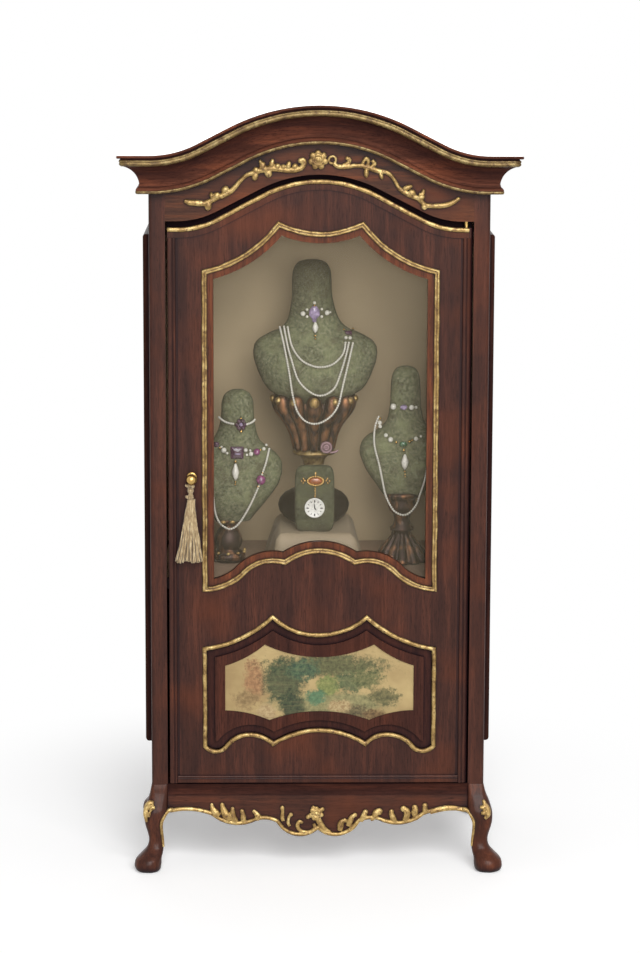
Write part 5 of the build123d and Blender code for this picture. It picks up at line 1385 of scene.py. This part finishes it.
def watch():
    """The watch's enamel dial, with plain marks and two hands."""
    dial = Clay()
    dial.turned_forward(PAD_X, WATCH_Z, [(PINNED - out, r) for r, out in DIAL], 48)
    piece("watch_dial", dial, enamel, "case")
    marks = Clay()
    for i in range(12):
        a = math.radians(30 * i)
        big = 1.6 if i % 3 == 0 else 1.0
        marks.ball((PAD_X + MARKS_REACH * math.sin(a), PINNED - 0.2,
                    WATCH_Z + MARKS_REACH * math.cos(a)),
                   (.1 * big, .05, .22 * big), 6, 4, lean=30 * i)
    marks.tube([(PAD_X, PINNED - 0.28, WATCH_Z), (PAD_X - 0.1, PINNED - 0.28, WATCH_Z + 1.1)],
               [.15, .07])
    marks.tube([(PAD_X, PINNED - 0.3, WATCH_Z), (PAD_X + 0.45, PINNED - 0.3, WATCH_Z - 0.5)],
               [.15, .09])
    piece("dial_marks", marks, ebonised, "case")


pin_pad()
brooch()
watch()


# ---------------------------------------------------------------- silk
def woven(name, colour, sheen, contrast=0.9, shade_heights=None):
    """Silk: a weave too fine to see, broad soft changes of tone and a sheen. The last argument
    gives the heights in millimetres between which its painted shade fades out upwards."""
    f = Finish(name)
    place = f.stretched((1, 1, 1))
    weave = f.clouds(f.stretched((1.2, 1.2, 0.15)), 1.0, 2.0, 0.5)
    cloud = f.clouds(place, 0.05, 2.0, 0.5)
    base = f.ramp(cloud, (0.3, shaded(colour, contrast)), (0.7, colour))
    # painted shade: the cloth turns darker towards the bottom
    if shade_heights:
        base = f.blend(f.ramp(f.axis("Z", *shade_heights), (0.0, 0.8), (0.5, 0.58), (1.0, 0.0)), base,
                       shaded(colour, 0.45))
    return f.surface(Base_Color=base, Roughness=0.6, Sheen_Weight=sheen, Sheen_Roughness=0.35,
                     Specular_IOR_Level=0.3, Normal=f.bump(weave, 0.02, 0.2))


satin = woven("khaki_satin", tint(228, 203, 162), 0.25, shade_heights=(92.0, 152.0))
cream = woven("cream_silk", tint(168, 151, 125), 0.05, 0.7)
shelf_cream = woven("shelf_silk", tint(150, 124, 102), 0.05, 0.7)
# a flat cloth's left edge, its low or front edge, its width and its other length
WALL = (-37.4, 71.2, 74.8, 89.3)
WALL_Y = 25.2
WALL_SQUARE = 1.2         # side of the squares that the cloth is made of
SHELF_CLOTH = (-37.3, -16.75, 74.6, 41.65)
SHELF_Z = 71.3
SHELF_SQUARE = 1.0
HEM = 4.0                 # width of the strip along the edges where the satin lies close
# the draped block
BLOCK_X = -0.6
BLOCK_FRONT, BLOCK_BACK = -9.0, 17.0
BLOCK_HALF = 9.5
BLOCK_TOP, BLOCK_LOW = 80.0, 71.7
BLOCK_CORNER = 1.2        # radius of its upright corners
CORNER_STEPS = 6
TOP_SHARES = (0.02, 0.25, 0.5, 0.72, 0.86)    # the cloth's rings on top, as shares of its size
SIDE_ROWS = 20


def flat_cloth(sizes, square, place):
    """A rectangular cloth in small squares. place gives the point where each spot of it lies."""
    left, low, width, length = sizes
    columns, rows = round(width / square), round(length / square)
    clay = Clay()
    clay.skin([[place(left + width * j / columns, low + length * i / rows)
                for j in range(columns + 1)] for i in range(rows + 1)], closed=False)
    return clay


def satin_wall():
    """The satin stretched over the back board, a little loose."""
    left, low, _, length = WALL

    def place(x, z):
        tight = min(HEM, -left - abs(x), z - low, low + length - z) / HEM
        puff = 0.16 * ripple(x * 0.09, z * 0.025, 2.2) + 0.05 * ripple(x * 0.3, z * 0.1, 5.0)
        return (x, WALL_Y - max(0.0, tight) * (0.2 + puff), z)

    wall = piece("satin_wall", flat_cloth(WALL, WALL_SQUARE, place), satin, "case",
                 replaces=["lining_back"])


def shelf_silk():
    """The silk laid on the display floor."""
    def place(x, y):
        return (x, y, SHELF_Z + max(0.05, 0.12 + 0.12 * ripple(x * 0.12, y * 0.12, 9.1)))

    silk_floor = piece("shelf_silk", flat_cloth(SHELF_CLOTH, SHELF_SQUARE, place), shelf_cream,
                       "case", replaces=["shelf_cloth"])


def block_outline():
    """Points round the draped block, each with the direction that faces away from it."""
    reach = BLOCK_HALF - BLOCK_CORNER
    front, back = BLOCK_FRONT + BLOCK_CORNER, BLOCK_BACK - BLOCK_CORNER
    corners = []
    for cx, cy, start in ((reach, front, -90), (reach, back, 0), (-reach, back, 90),
                          (-reach, front, 180)):
        for i in range(CORNER_STEPS + 1):
            a = math.radians(start + 90 * i / CORNER_STEPS)
            c, s = math.cos(a), math.sin(a)
            corners.append((BLOCK_X + cx + BLOCK_CORNER * c, cy + BLOCK_CORNER * s, c, s))
    spots = []
    for here, there in zip(corners, corners[1:] + corners[:1]):
        count = max(1, round(math.dist(here[:2], there[:2]) / 0.8))
        for i in range(count):
            share = i / count
            spots.append([a + (b - a) * share for a, b in zip(here, there)])
    return spots


def draped_silk():
    """The silk draped over the raised block in the middle, with folds down its sides."""
    spots = block_outline()
    middle = (BLOCK_FRONT + BLOCK_BACK) / 2
    rings = []
    for share in TOP_SHARES:
        rings.append([(BLOCK_X + (x - BLOCK_X) * share, middle + (y - middle) * share,
                       BLOCK_TOP + 0.15 + 0.12 * ripple(x * 0.3 * share, y * 0.3 * share))
                      for x, y, _, _ in spots])
    for i in range(SIDE_ROWS + 1):
        t = i / SIDE_ROWS
        shoulder = 1.0 - min(1.0, t / 0.24)
        z = BLOCK_TOP + 0.1 - (BLOCK_TOP - BLOCK_LOW) * t
        line = []
        for x, y, out_x, out_y in spots:
            wave = math.sin(x * 0.55 + 0.9 + 0.5 * ripple(x * 0.2, y * 0.2)) * math.cos(y * 0.5)
            fold = 0.5 + 0.5 * wave
            spread = (0.1 - 1.1 * shoulder ** 2 + 1.9 * t ** 1.2 + 1.3 * (fold - 0.4) * t ** 0.7
                      + 0.5 * ripple(x * 0.4, y * 0.4, z * 0.15) * t)
            line.append((x + out_x * spread, y + out_y * spread, z))
        rings.append(line)
    clay = Clay()
    clay.skin(rings)
    clay.faces.pop()      # the cloth is open below
    drape = piece("draped_silk", clay, cream, "case", replaces=["draped_dais"])


satin_wall()
shelf_silk()
draped_silk()

# ---------------------------------------------------------------- knob and tassel
KNOB = (-30.1, 96.4)
LOOP_Y = FRONT - 1.6
BALL_Y = FRONT - 3.1
# the pull from its plate to the ball's front: y and radius
KNOB_PROFILE = [(FIELD_Y + 0.3, 1.25), (FIELD_Y - 0.15, 1.25), (FIELD_Y - 0.35, 1.0),
                (FIELD_Y - 0.45, 0.55), (BALL_Y + 1.3, 0.52), (BALL_Y + 1.1, 0.75),
                (BALL_Y + 0.85, 1.0), (BALL_Y + 0.5, 1.2), (BALL_Y, 1.3), (BALL_Y - 0.5, 1.2),
                (BALL_Y - 0.9, 0.94), (BALL_Y - 1.15, 0.6), (BALL_Y - 1.26, 0.25)]
BINDINGS = 8
THREADS = 46
SKIRT_TOP = 5.0           # how far below the knob's middle the threads start
SKIRT_END = 20.0          # and where they end


def thread_finish():
    """Twisted cream threads, with painted shade where they lie deep."""
    f = Finish("tassel_thread")
    twist = f.clouds(f.stretched((1, 1, 0.25)), 3.0, 3.0, 0.6)
    colour = f.ramp(twist, (0.3, tint(110, 88, 56)), (0.5, tint(156, 133, 95)),
                    (0.7, tint(194, 174, 136)))
    # painted shade between the threads
    colour = f.blend(f.ramp(f.nook(0.8), (0.3, 0.85), (0.8, 0.0)), colour, tint(88, 66, 42))
    return f.surface(Base_Color=colour, Roughness=0.6, Sheen_Weight=0.3,
                     Normal=f.bump(twist, 0.08))


def knob():
    """A small turned brass pull: plate, neck and ball."""
    x, z = KNOB
    clay = Clay()
    clay.turned_forward(x, z, KNOB_PROFILE, 32)
    piece("pull_knob", clay, brass, "door", replaces=["door_knob"])


def tassel_head():
    """The loop round the knob's neck, its knot and the bound head."""
    x, z = KNOB
    clay = Clay()
    ring(clay, x, LOOP_Y, z, 0.85, 0.2)
    clay.tube([(x - 0.3, LOOP_Y, z - 0.9), (x - 0.6, LOOP_Y - 0.3, z - 1.7),
               (x - 1.5, LOOP_Y - 0.4, z - 1.5)], [.35, .5, .25])
    clay.tube([(x - 0.2, LOOP_Y, z - 0.9), (x + 0.2, LOOP_Y - 0.3, z - 1.8),
               (x + 0.6, LOOP_Y - 0.3, z - 2.1)], [.35, .5, .3])
    for i in range(BINDINGS):
        level = z - 2.4 - 0.34 * i
        size = 0.72 + 0.16 * math.sin(i * 1.3)
        clay.turned((x - 0.25, LOOP_Y - 0.1), [(size * 0.7, level + 0.2), (size, level),
                                               (size * 0.7, level - 0.2)], 16, 0.85)
    clay.ball((x - 1.05, LOOP_Y - 0.2, z - 4.4), (.55, .4, .4), lean=25)
    piece("tassel_knot", clay, tassel_thread, "tassel", replaces=["tassel_head"])


def tassel_skirt():
    """The hanging threads, in three layers that spread and wander."""
    x, z = KNOB
    clay = Clay()
    random.seed(12)
    for i in range(THREADS):
        layer = i % 3 - 1
        aim = -1 + 2 * ((i * 0.6180339) % 1.0)
        drift = random.uniform(-0.12, 0.12)
        low = z - SKIRT_END + random.uniform(-0.35, 0.5)
        points, radii = [], []
        for s in range(9):
            u = s / 8
            spread = (0.45 + 0.55 * u) * u ** 0.8
            px = x - 0.15 + aim * (0.62 + 2.55 * spread) - 0.35 * u + 0.1 * math.sin(u * 9 + i)
            py = LOOP_Y + 0.1 - 0.5 * u + layer * (0.3 + 0.35 * u) * (1 - 0.5 * aim * aim)
            points.append((px + drift * u, py + 0.05 * math.sin(u * 7 + i * 2.1),
                           z - SKIRT_TOP + (low - z + SKIRT_TOP) * u))
            radii.append(0.26 - 0.05 * u + 0.04 * math.sin(s * 2.4 + i))
        clay.tube(points, radii, 6, 3)
    piece("tassel_threads", clay, tassel_thread, "tassel",
          replaces=["tassel_skirt"])


tassel_thread = thread_finish()
knob()
tassel_head()
tassel_skirt()

# ---------------------------------------------------------------- floor, light and camera
FLOOR_HALF = 3.0          # half the floor's side, in metres
FLOOR_FADE = (0.045, 0.14)    # metres from the middle, where the floor turns white
FLOOR_VEIL = 0.28         # light added to the floor where it is seen, so that shadows stay pale
WORLD_LIGHT = 0.28        # what the white surroundings give to the object
AIM = (0, 0, 0.09)
CAMERA_PLACE = (-11.4, -663.5, 219.0)
YAW = 1.005               # degrees to the right
PITCH = 8.8               # degrees down
ROLL = -0.18
LENS = 104.3
SENSOR = 36.0
SHIFT_UP = -0.1


def stage_floor():
    """A matt floor that turns pure white away from the object, with the object's soft shadow."""
    size = FLOOR_HALF
    mesh = bpy.data.meshes.new("floor")
    mesh.from_pydata([(-size, -size, 0), (size, -size, 0), (size, size, 0), (-size, size, 0)], [],
                     [(0, 1, 2, 3)])
    floor = bpy.data.objects.new("floor", mesh)
    bpy.context.scene.collection.objects.link(floor)
    f = Finish("floor")
    f.surface(Base_Color=(0.92, 0.92, 0.92, 1), Roughness=0.8, Specular_IOR_Level=0.0)
    rays = f.add("ShaderNodeLightPath")
    seen = f.maths("MAXIMUM", rays.outputs["Is Camera Ray"], rays.outputs["Is Glossy Ray"])
    seen = f.maths("MAXIMUM", seen, rays.outputs["Is Transmission Ray"])
    away = f.add("ShaderNodeVectorMath", {0: f.place}, operation="LENGTH").outputs["Value"]
    start, end = FLOOR_FADE
    far = f.add("ShaderNodeMapRange", {"Value": away, "From Min": start, "From Max": end},
                interpolation_type="SMOOTHSTEP").outputs[0]
    veil = f.add("ShaderNodeEmission", {"Color": (1, 1, 1, 1), "Strength": FLOOR_VEIL})
    white = f.add("ShaderNodeEmission", {"Color": (1, 1, 1, 1), "Strength": 1.0})
    dark = f.add("ShaderNodeEmission", {"Color": (0, 0, 0, 1), "Strength": 0.0})
    pick = f.add("ShaderNodeMixShader", {"Fac": seen, 1: dark.outputs[0], 2: veil.outputs[0]})
    near = f.add("ShaderNodeAddShader", {0: f.shader.outputs[0], 1: pick.outputs[0]})
    whole = f.add("ShaderNodeMixShader", {"Fac": f.maths("MULTIPLY", seen, far),
                                          1: near.outputs[0], 2: white.outputs[0]})
    f.put(f.tree.nodes["Material Output"].inputs["Surface"], whole.outputs[0])
    mesh.materials.append(f.material)


def stage_world():
    """White surroundings that are seen white but light the object softly."""
    world = bpy.data.worlds.new("studio")
    bpy.context.scene.world = world
    world.use_nodes = True
    tree = world.node_tree
    shade = tree.nodes["Background"]
    shade.inputs["Color"].default_value = (1.0, 1.0, 1.0, 1)
    rays = tree.nodes.new("ShaderNodeLightPath")
    seen = rays.outputs["Is Camera Ray"]
    for name in ("Is Glossy Ray", "Is Transmission Ray"):
        either = tree.nodes.new("ShaderNodeMath")
        either.operation = "MAXIMUM"
        tree.links.new(seen, either.inputs[0])
        tree.links.new(rays.outputs[name], either.inputs[1])
        seen = either.outputs[0]
    strength = tree.nodes.new("ShaderNodeMapRange")
    strength.inputs["To Min"].default_value = WORLD_LIGHT
    strength.inputs["To Max"].default_value = 1.0
    tree.links.new(seen, strength.inputs["Value"])
    tree.links.new(strength.outputs[0], shade.inputs["Strength"])


def area_light(name, place, size, power):
    """A rectangular lamp aimed at the object's middle, in metres and watts."""
    data = bpy.data.lights.new(name, "AREA")
    data.shape = "RECTANGLE"
    data.size, data.size_y = size
    data.energy = power
    lamp = bpy.data.objects.new(name, data)
    bpy.context.scene.collection.objects.link(lamp)
    lamp.location = place
    lamp.rotation_euler = (Vector(AIM) - Vector(place)).to_track_quat("-Z", "Y").to_euler()


stage_floor()
stage_world()
area_light("key", (0.4, -0.7, 0.6), (0.22, 0.22), 1.4)
area_light("front", (0.08, -1.2, 0.34), (0.7, 0.42), 5.2)
area_light("top", (0.12, -0.95, 0.74), (0.5, 0.6), 7.8)
area_light("back", (0.0, 1.6, 0.45), (2.0, 0.8), 8.0)

camera_data = bpy.data.cameras.new("camera")
camera_data.lens = LENS
camera_data.sensor_width = SENSOR
camera_data.shift_y = SHIFT_UP
camera_data.clip_start = 0.01
camera = bpy.data.objects.new("camera", camera_data)
bpy.context.scene.collection.objects.link(camera)
camera.location = [v * MM for v in CAMERA_PLACE]
camera.rotation_euler = [math.radians(angle) for angle in (90 - PITCH, ROLL, -YAW)]
bpy.context.scene.camera = camera
bpy.context.scene.view_settings.view_transform = "Standard"
